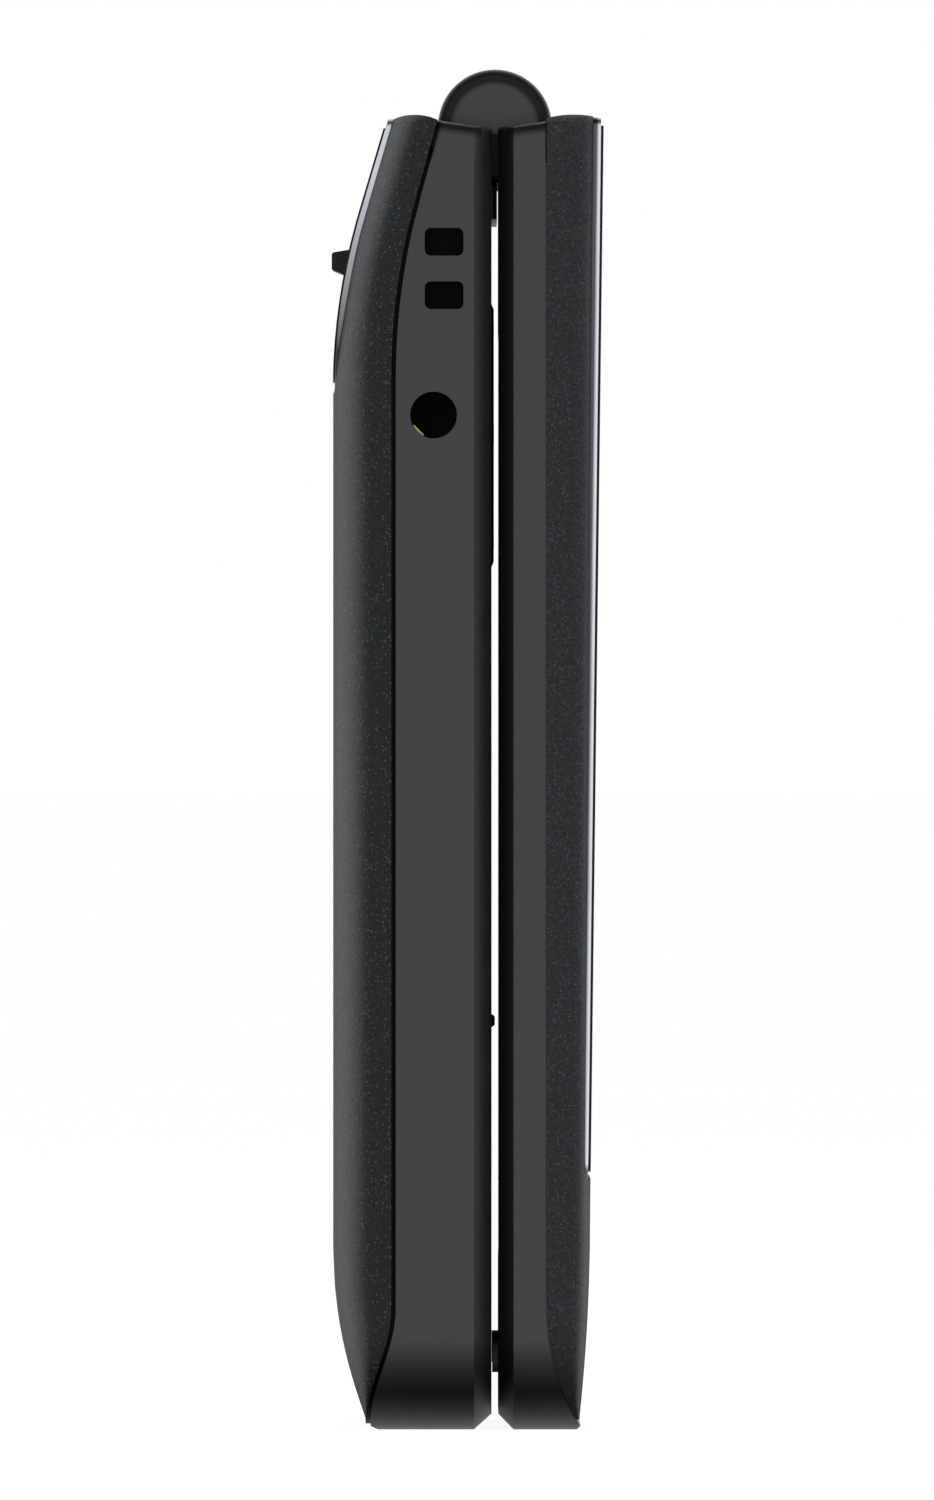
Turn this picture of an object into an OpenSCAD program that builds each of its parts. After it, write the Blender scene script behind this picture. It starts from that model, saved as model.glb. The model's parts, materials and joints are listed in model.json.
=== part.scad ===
// Clamshell mobile telephone, closed and standing on its foot, hinge uppermost.
// Width runs along X, thickness along Y (lid at the front, base at the back),
// length along Z. Inside the modules a "depth" is the distance from the plane
// between the two halves: backwards in the base, forwards in the lid.

/* [Body] */
// Width across the sides
body_w = 53; // [51:0.5:58]
// Height of the shoulders above the foot
body_h = 101.3; // [100:0.1:108]
// Depth of the base, from the parting plane to its plumb back
base_depth = 12.54; // [12.4:0.02:14]
// Depth of the lid, from the parting plane to the lower end of its front
lid_depth = 7.37; // [7.3:0.01:8.5]
// Gap between the closed halves
gap = 0.52; // [0.4:0.02:0.7]
// Radius of the lower corners, seen from the front
corner_r = 8; // [7:0.5:9]
// Radius of the upper corners, seen from the front
shoulder_r = 0.85; // [0.4:0.05:1.2]
// Width of the chamfers round the gap, across each face
chamfer_face = 1.2; // [0.8:0.1:1.5]
// Depth of the base's chamfer
base_chamfer = 1.36; // [0.8:0.02:1.6]
// Depth of the lid's chamfer
lid_chamfer = 1.18; // [0.8:0.02:1.4]

/* [Shells] */
// Side walls of the two frames
frame_wall = 1.8; // [1.6:0.1:2]
// Wall of the base frame that the keys pass through
key_wall = 1.2; // [1:0.05:1.4]
// Wall of the lid frame round the main display
lens_wall = 1; // [0.9:0.05:1.2]
// Wall of the two satin covers
cover_wall = 1; // [0.8:0.05:1.1]
// Width of the groove between the base frame and its cover
base_groove = 0.34; // [0.2:0.02:0.4]
// Width of the groove between the lid frame and its cover
lid_groove = 0.1; // [0.06:0.02:0.3]
// Reach of the base's groove, from the sides to the land that the cover rests on
base_groove_in = 0.45; // [0.3:0.05:0.6]
// Reach of the lid's groove, from the sides to its land
lid_groove_in = 0.1; // [0.1:0.05:0.6]
// Reach of a frame's tongue past the seam
tongue = 0.6; // [0.4:0.05:0.8]
// Depth of the seam round the base
base_seam_depth = 7.8; // [7.6:0.05:8]
// Depth of the seam round the lid
lid_seam_depth = 3.94; // [3.9:0.02:4.2]
// Roundness of the base cover's section, where 2 is an ellipse
base_power = 3; // [2.6:0.1:4]
// Roundness of the lid cover's section
lid_power = 7; // [6:0.5:9]

/* [Lean of the upper back] */
// Distance from the shoulders down to where the back starts to lean
lean_drop = 21.5; // [20:0.1:24]
// Radius of the bend into the lean
lean_r = 50; // [45:1:54]
// Lean of the upper back
lean_deg = 16.5; // [15:0.1:17]
// Rise of the lid's front from its lower end to the shoulders, in degrees
front_deg = 0.708; // [0.5:0.002:0.8]

/* [Hinge] */
// Radius of the hinge barrel
barrel_r = 4.39; // [4.2:0.01:4.4]
// Distance from the shoulders down to the hinge axis
hinge_drop = 0.85; // [0.6:0.05:1]
// Clearance round the barrel in the channels
channel_gap = 0.25; // [0.2:0.01:0.35]
// Width of the cheeks beside the hinge
cheek_w = 4.2; // [3.8:0.1:5]
// Length of each knuckle on the base
knuckle_len = 6; // [5:0.1:6.5]
// Thickness of each end cap
cap_t = 1.4; // [1.2:0.05:1.6]
// Rounding of the end caps' rims
cap_round = 1; // [0.6:0.05:1.1]
// Gap between faces that turn past each other
end_gap = 0.3; // [0.2:0.02:0.4]
// Radius of the hinge pin and of the cam shaft
pin_r = 1.5; // [1.2:0.05:1.6]
// Running clearance round the pin and the shaft
pin_clear = 0.03; // [0.02:0.005:0.08]
// Reach of the pin into the lid's barrel
pin_reach = 4.7; // [3:0.1:6]
// Slope of the cheeks' tops down to the gap
vee_deg = 7.7; // [6:0.1:9]
// Drop of the cheeks' tops below the hinge axis, at the parting plane
vee_drop = 0.2; // [0.1:0.02:0.4]

/* [Keypad] */
// Space between the outer keys and the telephone's sides
keypad_side = 3.6; // [3.4:0.1:4.2]
// Height of the lowest keys' lower edges above the foot
keypad_foot = 5.75; // [5.7:0.05:6.5]
// Space between keys of a row
key_space = 1; // [0.9:0.05:1.4]
// Space between rows of keys
row_space = 1.2; // [1.1:0.05:1.6]
// Space between the call row and the navigation ring
nav_space = 9.25; // [8.5:0.05:10]
// Corner radius of a key
key_r = 2.2; // [1:0.1:3]
// Clearance round a key in its opening
key_clear = 0.15; // [0.1:0.01:0.2]
// Ledge round a key, behind the wall
key_ledge = 0.4; // [0.3:0.02:0.45]
// Thickness of that ledge
ledge_t = 0.34; // [0.2:0.02:0.4]
// Distance from the shoulders down to the middle of the navigation ring
nav_drop = 24.5; // [24:0.1:25]
// Outer radius of the navigation ring
nav_r = 10.5; // [10:0.1:10.6]
// Height of the ring's crest above the keypad's face
nav_crest = 0.19; // [0.1:0.01:0.2]
// Radius of the OK key
ok_r = 4.3; // [3.5:0.1:4.6]
// Space between the ring and a soft key
soft_space = 1.8; // [1.6:0.1:3]
// Height of a soft key
soft_h = 18; // [14:0.5:18]
// Height of the nub on the middle key
nub_h = 0.27; // [0.15:0.01:0.3]

/* [Left side] */
// Radius of the headphone hole
jack_r = 1.8; // [1.75:0.01:1.85]
// Depth of the headphone hole's axis
jack_depth = 4.72; // [4.7:0.02:4.8]
// Distance from the shoulders down to the headphone hole
jack_drop = 23.13; // [22.8:0.01:23.4]
// Length of the headphone socket
jack_len = 13.5; // [12:0.1:14]
// Size of a lanyard hole across the thickness
lanyard_d = 2.98; // [2.6:0.02:3.1]
// Size of a lanyard hole along the length
lanyard_h = 2.13; // [1.8:0.01:2.2]
// Depth of the lanyard holes' middle
lanyard_depth = 3.91; // [3.8:0.01:4]
// Distance from the shoulders down to the bar between the lanyard holes
lanyard_drop = 11.86; // [11.4:0.02:12.2]
// Width of the bar between the lanyard holes
lanyard_bar = 1.98; // [1.6:0.02:2.2]

/* [Right side] */
// Length of the volume rocker
rocker_len = 16; // [12:0.5:18]
// Width of the volume rocker
rocker_w = 2.8; // [2:0.1:3.2]
// Distance from the shoulders down to the middle of the rocker
rocker_drop = 19.3; // [18:0.1:21]
// Height of the USB socket above the foot
usb_z = 30; // [26:0.5:40]
// Width of the USB opening, along the length of the telephone
usb_w = 7.9; // [7.5:0.1:8.2]
// Size of the USB opening across the thickness
usb_t = 2.7; // [2.5:0.05:2.9]

/* [Back] */
// Half width of the camera panel's trim
panel_half = 18.6; // [17:0.1:19.5]
// Corner radius at the lower end of the camera panel
panel_r = 9; // [6:0.5:12]
// Thickness of the camera panel and of its trim
panel_t = 0.7; // [0.6:0.02:0.8]
// Width of the trim's rim
trim_w = 0.7; // [0.5:0.05:0.9]
// Height of the panel's glass above its trim
glass_step = 0.16; // [0.1:0.01:0.25]
// Distance from the side of the telephone to the camera
camera_side = 18.5; // [17.5:0.1:19.5]
// Radius of the lens window
lens_r = 3.6; // [3:0.1:4]
// Distance from the side of the telephone to the emergency slider
slider_side = 19.5; // [18.5:0.1:20.5]
// Distance from the shoulders down to the slider's ridge
slider_drop = 11.2; // [11:0.05:11.8]
// Width of the slider's ridge
ridge_w = 7; // [5:0.1:8]
// Height of the slider's ridge at its root
ridge_h = 2; // [1.6:0.05:2.2]
// Reach of the slider's ridge past the plumb back
ridge_reach = 0.08; // [0:0.01:0.4]
// Travel of the slider
slider_travel = 2; // [1:0.1:2.2]

/* [Front] */
// Width of the satin edge beside the front glass's trim
front_side = 1.6; // [1.5:0.05:2]
// Height of the lower end of the front trim above the foot
front_foot = 19.3; // [18:0.1:24]
// Corner radius at the lower end of the front glass's trim
front_r = 2; // [1:0.1:4]
// Rounding of the front's upper edge
brow_r = 0.5; // [0.5:0.05:1.2]
// Thickness of the front glass
front_t = 0.8; // [0.7:0.02:0.9]
// Width of the outer display's window
outer_w = 32; // [26:0.5:36]
// Height of the outer display's window
outer_h = 24; // [20:0.5:28]
// Distance from the shoulders down to the outer display's middle
outer_drop = 37; // [32:0.5:44]

/* [Lid inside] */
// Space between the display lens and the telephone's sides
lens_side = 4; // [3.9:0.1:5]
// Height of the display lens's lower end above the foot
lens_low = 13.5; // [13:0.1:16]
// Distance from the shoulders down to the display lens's upper end
lens_drop = 16.8; // [15:0.1:20]
// Masked rim of the display lens beside the display
mask_side = 1.5; // [1.5:0.1:4]
// Masked rim of the display lens below the display
mask_foot = 8; // [4:0.5:12]
// Masked rim of the display lens above the display
mask_head = 6; // [4:0.5:10]
// Thickness of the display lens
lens_t = 0.7; // [0.5:0.02:0.8]
// Distance from the sides of the telephone to the bumpers' middles
bumper_side = 2.7; // [2.5:0.05:2.8]
// Space between a bumper and the base
bumper_clear = 0.04; // [0.02:0.01:0.1]

/* [Inside] */
// Depth of the main board's front
board_depth = 2.9; // [2.86:0.02:3]
// Thickness of the circuit boards
board_t = 0.8; // [0.6:0.05:0.9]
// Depth of the chassis plate's front
chassis_depth = 5.1; // [5.05:0.05:5.3]
// Thickness of the chassis plate
chassis_t = 0.7; // [0.6:0.05:0.8]
// Space between the battery and the telephone's sides
battery_side = 9.5; // [9.2:0.1:12]
// Distance from the shoulders down to the battery's upper end
battery_drop = 36.3; // [36:0.1:44]
// Thickness of the battery
battery_t = 4.9; // [4:0.1:5]
// Height of the battery's lower end above the foot
battery_z = 13; // [12.5:0.1:13.5]
// Space round a part that drops into a pocket
pocket_gap = 0.15; // [0.1:0.01:0.25]
// Radius of the screws' shanks
screw_r = 0.65; // [0.5:0.05:0.7]
// Radius of the screws' heads
head_r = 1.2; // [1:0.05:1.3]
// Thickness of the screws' heads
head_t = 0.6; // [0.4:0.05:0.7]

/* [Hidden] */
$fn = 64;

// A little more, so that cuts pass right through
over = 1;
half_w = body_w / 2;
face = gap / 2;
hinge_z = body_h - hinge_drop;
channel_r = barrel_r + channel_gap;

// Stations along the hinge axis, from the cheeks inwards
cheek_in = half_w - cheek_w;
cap_out = cheek_in - end_gap;
knuckle_out = cap_out - cap_t;
knuckle_in = knuckle_out - knuckle_len;
barrel_half = knuckle_in - end_gap;
// Space between a pressed pin and its hole
press_gap = 0.01;
cartridge_r = 2.9;

// Cavities stop under the hinge channel
cavity_top = hinge_z - channel_r - 1.2;
cavity_half = half_w - frame_wall;
// The frames' upper lips end where the channel would thin them to an edge
base_lip = hinge_z - 1.35;
lid_lip = hinge_z - 2.55;

// Rounding of the base's back into the foot
base_foot_z = 13.9;
base_foot_r = 35;
// Rounding of the lid's front into the foot
lid_foot_z = 16;
lid_foot_r = 140;
// The seams sweep outwards over the last stretch above the foot
base_sweep_z = 9.3;
base_sweep = 1.95;
lid_sweep_z = 10.85;
lid_sweep = 2.8;
// The seam of the base leans like its back
seam_lean_drop = 20.3;
seam_lean_r = 52;
seam_lean_deg = 15.5;
// Lowest points of the covers
base_cover_foot = 0.5;
lid_cover_foot = 0.8;

// Fall of a line that leaves the plumb at height from and bends on a radius
function leaning(z, from, r, deg) =
    let (bend_end = from + r * sin(deg))
    z <= from ? 0
    : z <= bend_end ? r - sqrt(r * r - pow(z - from, 2))
    : r * (1 - cos(deg)) + (z - bend_end) * tan(deg);
function footing(z, from, r) = z >= from ? 0 : r - sqrt(r * r - pow(from - z, 2));
function eased(t) = let (u = min(max(t, 0), 1)) u * u * (3 - 2 * u);

// Depths of the outlines at a height above the foot
function base_back(z) = base_depth - footing(z, base_foot_z, base_foot_r)
    - leaning(z, body_h - lean_drop, lean_r, lean_deg);
function base_seam(z) = base_seam_depth
    - leaning(z, body_h - seam_lean_drop, seam_lean_r, seam_lean_deg)
    + base_sweep * eased((base_sweep_z - z) / (base_sweep_z - base_cover_foot));
function lid_front(z) = lid_depth - footing(z, lid_foot_z, lid_foot_r)
    + max(0, z - lid_foot_z) * tan(front_deg) * 0.75;
function lid_seam(z) = lid_seam_depth
    + lid_sweep * pow(max(0, lid_sweep_z - z) / lid_sweep_z, 2.5);
function front_glass(z) = lid_depth + (z - front_foot) * tan(front_deg);
function back_lean(z) = asin(max(0, min(z - (body_h - lean_drop), lean_r * sin(lean_deg))) / lean_r);

// Half width of the outline at a height, drawn in by an inset
function half_at(z, inset) =
    let (r = corner_r - inset,
         below = r - (z - inset),
         above = z - (body_h - shoulder_r))
    half_w - inset
    - (below > 0 ? r - sqrt(max(0, r * r - below * below)) : 0)
    - (above > 0 ? shoulder_r - sqrt(max(0, shoulder_r * shoulder_r - above * above)) : 0);

// The parting plane lies so that the closed telephone is centred on Y = 0
panel_drop = 0.2;
panel_top = body_h - panel_drop;
ridge_tip = base_depth + ridge_reach;
plane_y = (front_glass(panel_top) - ridge_tip) / 2;

module in_place() {
    translate([0, plane_y, 0]) children();
}

module of_lid() {
    translate([0, plane_y, 0]) mirror([0, 1, 0]) children();
}

// Extrudes a shape drawn as [depth, height] along X
module across(from, to) {
    translate([from, 0, 0]) rotate([90, 0, 90]) linear_extrude(to - from) children();
}

// Extrudes a shape drawn as [x, height] from one depth to another
module deep(from, to) {
    translate([0, to, 0]) rotate([90, 0, 0]) linear_extrude(to - from) children();
}

// A cylinder along the hinge axis
module barrel(r, from, to) {
    translate([from, 0, hinge_z]) rotate([0, 90, 0]) cylinder(r = r, h = to - from);
}

// A cylinder running from one depth to another
module peg(x, z, r, from, to) {
    translate([x, from, z]) rotate([-90, 0, 0]) cylinder(r = r, h = to - from);
}

module block(x0, x1, d0, d1, z0, z1) {
    translate([x0, d0, z0]) cube([x1 - x0, d1 - d0, z1 - z0]);
}

module rounded(w, h, r) {
    square([w - 2 * r, h], center = true);
    square([w, h - 2 * r], center = true);
    for (x = [-1, 1], y = [-1, 1])
        translate([x * (w / 2 - r), y * (h / 2 - r)]) circle(r);
}

// Outline of a half in its own plane, drawn in by an inset, up to a height
module outline(inset, top) {
    r = corner_r - inset;
    half = half_w - inset;
    translate([-half, inset + r]) square([2 * half, top - inset - r]);
    translate([-half + r, inset]) square([2 * (half - r), r + over]);
    for (side = [-1, 1]) translate([side * (half - r), inset + r]) circle(r);
}

// Block of a half with its chamfer round the gap, down to a reach
module chamfered_block(reach, chamfer) {
    mid = half_w - corner_r;
    near = face + chamfer;
    translate([0, 0, corner_r]) linear_extrude(body_h - corner_r) polygon([
        [-half_w + chamfer_face, face], [half_w - chamfer_face, face],
        [half_w, near], [half_w, reach], [-half_w, reach], [-half_w, near]
    ]);
    across(-mid, mid) polygon([
        [face, chamfer_face], [near, 0], [reach, 0],
        [reach, corner_r + over], [face, corner_r + over]
    ]);
    for (side = [-1, 1])
        translate([side * mid, 0, corner_r]) rotate([-90, 0, 0]) rotate_extrude() polygon([
            [0, face], [corner_r - chamfer_face, face], [corner_r, near],
            [corner_r, reach], [0, reach]
        ]);
}

// Everything under a cheek's sloping top, with its side edges rounded
module under_vee() {
    down = body_h + 20;
    translate([0, 0, hinge_z - vee_drop]) rotate([vee_deg, 0, 0]) deep(-20, 40) {
        translate([-half_w, -down]) square([body_w, down - shoulder_r]);
        translate([-half_w + shoulder_r, -down]) square([body_w - 2 * shoulder_r, down]);
        for (side = [-1, 1])
            translate([side * (half_w - shoulder_r), -shoulder_r]) circle(shoulder_r);
    }
}

// Heights of a seam's steps, the same as those of the cover that rests on it
low_steps = 12;
function seam_heights(foot) = concat([0.3], ring_heights(foot), [body_h + 2]);

module within_base_seam(extra) {
    foot_round = 0.4;
    across(-half_w, half_w) polygon(concat(
        [[-1, -1], [-1, 0], [base_seam(0) - foot_round - base_groove, 0]],
        [for (z = seam_heights(base_cover_foot)) [base_seam(z) + extra, z]],
        [[-1, body_h + 2]]
    ));
}

module within_lid_seam(extra) {
    foot_round = 0.3;
    across(-half_w, half_w) polygon(concat(
        [[-1, -1], [-1, 0], [lid_seam(0) - foot_round - lid_groove, 0]],
        [for (z = seam_heights(lid_cover_foot)) [lid_seam(z) + extra, z]],
        [[-1, body_h + 2]]
    ));
}

// Everything further in than the groove round a seam
module behind_groove(reach) {
    deep(face, base_depth) outline(reach, body_h);
}

// Ring of wall that reaches past the seam, inside a cover and above its thick foot
module tongue_ring(reach) {
    deep(face + frame_wall, reach) difference() {
        outline(cover_wall + 0.1, cavity_top + frame_wall - cover_wall - 0.1);
        outline(frame_wall, cavity_top);
        translate([-half_w, 0]) square([body_w, corner_r]);
    }
}

// Skin over a stack of rings of points, each ring at its own height
module skinned(rings) {
    n = len(rings[0]);
    last = len(rings) - 1;
    polyhedron(
        [for (ring = rings) each ring],
        concat(
            [[for (j = [0 : n - 1]) j]],
            [for (i = [0 : last - 1], j = [0 : n - 1])
                [i * n + j, (i + 1) * n + j, (i + 1) * n + (j + 1) % n]],
            [for (i = [0 : last - 1], j = [0 : n - 1])
                [i * n + j, (i + 1) * n + (j + 1) % n, i * n + (j + 1) % n]],
            [[for (j = [n - 1 : -1 : 0]) last * n + j]]
        )
    );
}

// One ring of a cover: crowned from side to side, flat along the seam
function crowned(z, half, from, rise, power, n) = [
    for (i = [0 : n])
        let (a = 90 * (1 - cos(180 * i / n)))
        [half * sign(cos(a)) * pow(abs(cos(a)), 2 / power),
         from + rise * pow(abs(sin(a)), 2 / power), z]
];

// Heights of a cover's rings, close together round the corners
function ring_heights(foot) = concat(
    [for (i = [0 : low_steps]) foot + (corner_r + 1 - foot) * pow(i / low_steps, 1.7)],
    [corner_r + 3, base_foot_z, 17, 40, 62, body_h - lean_drop - 1],
    [for (z = [body_h - lean_drop + 0.5 : 1.5 : body_h - 8]) z],
    [body_h - 6, body_h - 3],
    [for (i = [0 : 4]) body_h - shoulder_r * (1 - sin(90 * i / 4)) - 0.01]
);
function cavity_heights(foot, top) = [
    foot, foot + 1.2, foot + 2.6, corner_r, corner_r + 3, base_foot_z, 40,
    body_h - lean_drop, body_h - lean_drop + 4, body_h - lean_drop + 8,
    body_h - lean_drop + 12, top
];

module base_skin() {
    skinned([for (z = ring_heights(base_cover_foot))
        let (from = base_seam(z) + base_groove / 2)
        crowned(z, half_at(z, 0), from, max(0.06, base_back(z) - from), base_power, 40)]);
}

module base_cover_cavity() {
    skinned([for (z = cavity_heights(3.4, body_h - 2.6))
        let (from = base_seam(z) - 0.6)
        crowned(z, half_at(z, cover_wall), from, base_back(z) - cover_wall * 1.15 - from,
            base_power + 1.2, 24)]);
}

module lid_skin() {
    skinned([for (z = ring_heights(lid_cover_foot))
        let (from = lid_seam(z) + lid_groove / 2)
        crowned(z, half_at(z, 0), from, max(0.06, lid_front(z) - from), lid_power, 40)]);
}

module lid_cover_cavity() {
    skinned([for (z = cavity_heights(3.8, body_h - 3.4))
        let (from = lid_seam(z) - 0.6)
        crowned(z, half_at(z, cover_wall), from, lid_front(z) - cover_wall * 1.4 - from,
            lid_power, 24)]);
}

// A cover's top is crowned from front to back
module under_crown(middle, r) {
    block(-half_w, half_w, -1, 20, -1, body_h - 0.8);
    translate([-half_w, middle, body_h - r]) rotate([0, 90, 0]) cylinder(r = r, h = body_w);
}

// ---- Camera panel on the back ----

panel_foot = body_h - lean_drop + 0.3;
panel_heights = concat([panel_foot - 1], [for (z = [panel_foot + 1 : 1.5 : panel_top - 8]) z],
    [panel_top - 7, body_h + 2]);

// Seat that the cover keeps under the panel, at its sides and at its ends
seat_w = 2;
seat_end = 2.8;

// Slab that follows the leaning back, between two depths below it
module back_slab(under, above) {
    across(-half_w, half_w) polygon(concat(
        [for (z = panel_heights) [base_back(z) - under, z]],
        [for (i = [len(panel_heights) - 1 : -1 : 0])
            [base_back(panel_heights[i]) + above, panel_heights[i]]]
    ));
}

// A panel with its own corner radii at the lower and the upper end
module tongue_shape(half, low, high, low_r, high_r) {
    translate([-half, low + low_r]) square([2 * half, high - high_r - low - low_r]);
    translate([low_r - half, low]) square([2 * (half - low_r), low_r + over]);
    translate([high_r - half, high - high_r - over]) square([2 * (half - high_r), high_r + over]);
    for (side = [-1, 1]) {
        translate([side * (half - low_r), low + low_r]) circle(low_r);
        translate([side * (half - high_r), high - high_r]) circle(high_r);
    }
}

// Outline of the panel, drawn in by an inset
panel_top_r = 1;
module panel_outline(inset) {
    tongue_shape(panel_half - inset, panel_foot + inset, panel_top - inset,
        panel_r - inset, panel_top_r - inset);
}

// Frame standing on the back's slope at a height, its Y axis straight out
module on_back(x, z) {
    translate([x, base_back(z), z]) rotate([back_lean(z), 0, 0]) children();
}

camera_x = half_w - camera_side;
camera_z = body_h - 10.3;
camera_size = 7;
flash_z = body_h - 16.6;
flash_r = 1.2;
slider_x = slider_side - half_w;
slider_z = body_h - slider_drop;
speaker_z = body_h - 17.6;
speaker_low = speaker_z - 2.8;
speaker_x = slider_x;
slot_count = 5;
slot_step = 2.2;

module slider_slot() {
    clear = 0.15;
    low = slider_z - ridge_h / 2 - slider_travel - 2 * clear;
    high = slider_z + ridge_h / 2 + 2 * clear;
    block(slider_x - ridge_w / 2 - clear, slider_x + ridge_w / 2 + clear, 5, 20, low, high);
}

module sound_slots() {
    for (i = [0 : slot_count - 1])
        translate([speaker_x + (i - (slot_count - 1) / 2) * slot_step, 5, speaker_z])
            deep(0, 12) rounded(0.9, 3, 0.44);
}

module camera_panel() {
    color("#0b0b0c") difference() {
        intersection() {
            back_slab(panel_t, 0);
            deep(4, 14) panel_outline(trim_w + 0.02);
        }
        on_back(camera_x, camera_z) peg(0, 0, lens_r + pocket_gap, -4, 4);
        on_back(camera_x, flash_z) peg(0, 0, flash_r + pocket_gap, -4, 4);
        slider_slot();
        sound_slots();
    }
}

module camera_trim() {
    color("#d0d3da") difference() {
        intersection() {
            back_slab(panel_t, -glass_step);
            deep(4, 14) panel_outline(0);
        }
        deep(3, 15) panel_outline(trim_w);
    }
}

module battery_cover() {
    color("#4a4d4f") difference() {
        intersection() {
            base_skin();
            under_crown(6.3, 4.5);
        }
        base_cover_cavity();
        barrel(channel_r, -cheek_in, cheek_in);
        intersection() {
            back_slab(panel_t, 2);
            deep(4, 15) {
                panel_outline(-pocket_gap / 2);
                translate([-panel_half, panel_top - 3]) square([2 * panel_half, 6]);
            }
        }
        // Way through for the camera, the slider and the sound
        deep(4, 15) tongue_shape(panel_half - seat_w, panel_foot + seat_end,
            panel_top - seat_end, panel_r - seat_w, panel_top_r);
    }
}

// Dished ring and window in front of the camera
module camera_lens() {
    dish = 0.25;
    color("#15181c") on_back(camera_x, camera_z) rotate([-90, 0, 0]) rotate_extrude() polygon([
        [0, -1.1], [lens_r, -1.1], [lens_r, -dish], [lens_r - dish, 0],
        [lens_r - 0.8, 0], [lens_r - 1.1, -0.35], [0, -0.35]
    ]);
}

module flash_lens() {
    color("#f3efdd") on_back(camera_x, flash_z) peg(0, 0, flash_r, -1.1, -0.05);
}

module camera_module() {
    half = camera_size / 2;
    color("#202124") union() {
        block(camera_x - half, camera_x + half, board_depth + board_t,
            base_back(camera_z) - 2.7, camera_z - half, camera_z + half);
        peg(camera_x, camera_z, 2.4, base_back(camera_z) - 2.8, base_back(camera_z) - 1.9);
    }
}

// Lanyard holes, their middles either side of the bar
lanyard_z = body_h - lanyard_drop;
lanyard_step = (lanyard_bar + lanyard_h) / 2;
lanyard_bore = 3.2;

module lanyard_holes() {
    for (side = [-1, 1])
        across(-half_w - over, -half_w + lanyard_bore)
            translate([lanyard_depth, lanyard_z + side * lanyard_step])
                rounded(lanyard_d, lanyard_h, 0.48);
    // Passage behind the bar
    across(-half_w + lanyard_bore - 1.4, -half_w + lanyard_bore)
        translate([lanyard_depth, lanyard_z])
            square([lanyard_d - 0.2, 2 * lanyard_step], center = true);
}

// ---- Keypad ----

key_back = face + key_wall;
nav_z = body_h - nav_drop;
soft_w = half_w - keypad_side - nav_r - soft_space;
soft_x = nav_r + soft_space + soft_w / 2;
soft_z = nav_z - 1.8;
soft_plunger = -5;
nav_sink = 0.32;
plunger_tip = board_depth - 0.62;
// Distance of the ring's four switches from its middle
switch_r = nav_r - 3.1;
ring_ledge_t = 0.3;
nav_back = key_back + nav_sink + ring_ledge_t;
dome_front = board_depth - 0.26;

// Three keys fill a row, and five rows fill the height under the ring
call_row = 4;
key_w = (2 * (half_w - keypad_side) - 2 * key_space) / 3;
key_h = (nav_z - nav_r - nav_space - keypad_foot - call_row * row_space) / (call_row + 1);
key_col = key_w + key_space;

function row_z(row) = keypad_foot + key_h / 2 + row * (key_h + row_space);

// Number keys as [column, row], left to right as seen when the phone is open
number_keys = [
    [-1, 3], [0, 3], [1, 3], [-1, 2], [0, 2], [1, 2], [-1, 1], [0, 1], [1, 1],
    [-1, 0], [0, 0], [1, 0]
];

module key_hole(x, z, w, h, r, grow, from, to) {
    translate([x, 0, z]) deep(from, to) rounded(w + 2 * grow, h + 2 * grow, r + grow);
}

// Everything that must stay open round the keys, grown by a clearance
module key_holes(grow, from, to) {
    for (key = number_keys)
        key_hole(key[0] * key_col, row_z(key[1]), key_w, key_h, key_r, grow, from, to);
    for (col = [-1 : 1])
        key_hole(col * key_col, row_z(call_row), key_w, key_h, key_r, grow, from, to);
    for (side = [-1, 1])
        key_hole(side * soft_x, soft_z, soft_w, soft_h, key_r, grow, from, to);
    peg(0, nav_z, nav_r + grow, from, to);
}

module key(x, z, w, h, plunger = 0) {
    key_hole(x, z, w, h, key_r, 0, face, key_back);
    key_hole(x, z, w, h, key_r, key_ledge, key_back, key_back + ledge_t);
    peg(x, z + plunger, 1.5, key_back + ledge_t, plunger_tip);
}

module number_key(index) {
    place = number_keys[index];
    color("#2b2c2e") key(place[0] * key_col, row_z(place[1]), key_w, key_h);
}

module middle_key() {
    x = number_keys[4][0] * key_col;
    z = row_z(number_keys[4][1]);
    color("#2b2c2e") union() {
        number_key(4);
        // Raised nub that the thumb finds
        translate([x, face, z]) rotate([90, 0, 0]) rotate_extrude()
            polygon([[0, -0.2], [0.5, -0.2], [0.5, 0.08], [0.32, nub_h], [0, nub_h]]);
    }
}

module call_row_key(col, shade) {
    color(shade) key(col * key_col, row_z(call_row), key_w, key_h);
}

module soft_key(side) {
    color("#2b2c2e") key(side * soft_x, soft_z, soft_w, soft_h, soft_plunger);
}

module nav_ring() {
    inner = ok_r + 0.25;
    ledge_top = -key_wall - nav_sink;
    color("#3a3b3d") translate([0, face, nav_z]) rotate([90, 0, 0]) rotate_extrude() polygon([
        [inner, ledge_top - ring_ledge_t], [nav_r + key_ledge, ledge_top - ring_ledge_t],
        [nav_r + key_ledge, ledge_top], [nav_r, ledge_top],
        [nav_r, -0.1], [nav_r - 0.7, nav_crest], [ok_r + 2.1, nav_crest],
        [inner + 0.4, nav_crest / 2], [inner, 0]
    ]);
}

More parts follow.
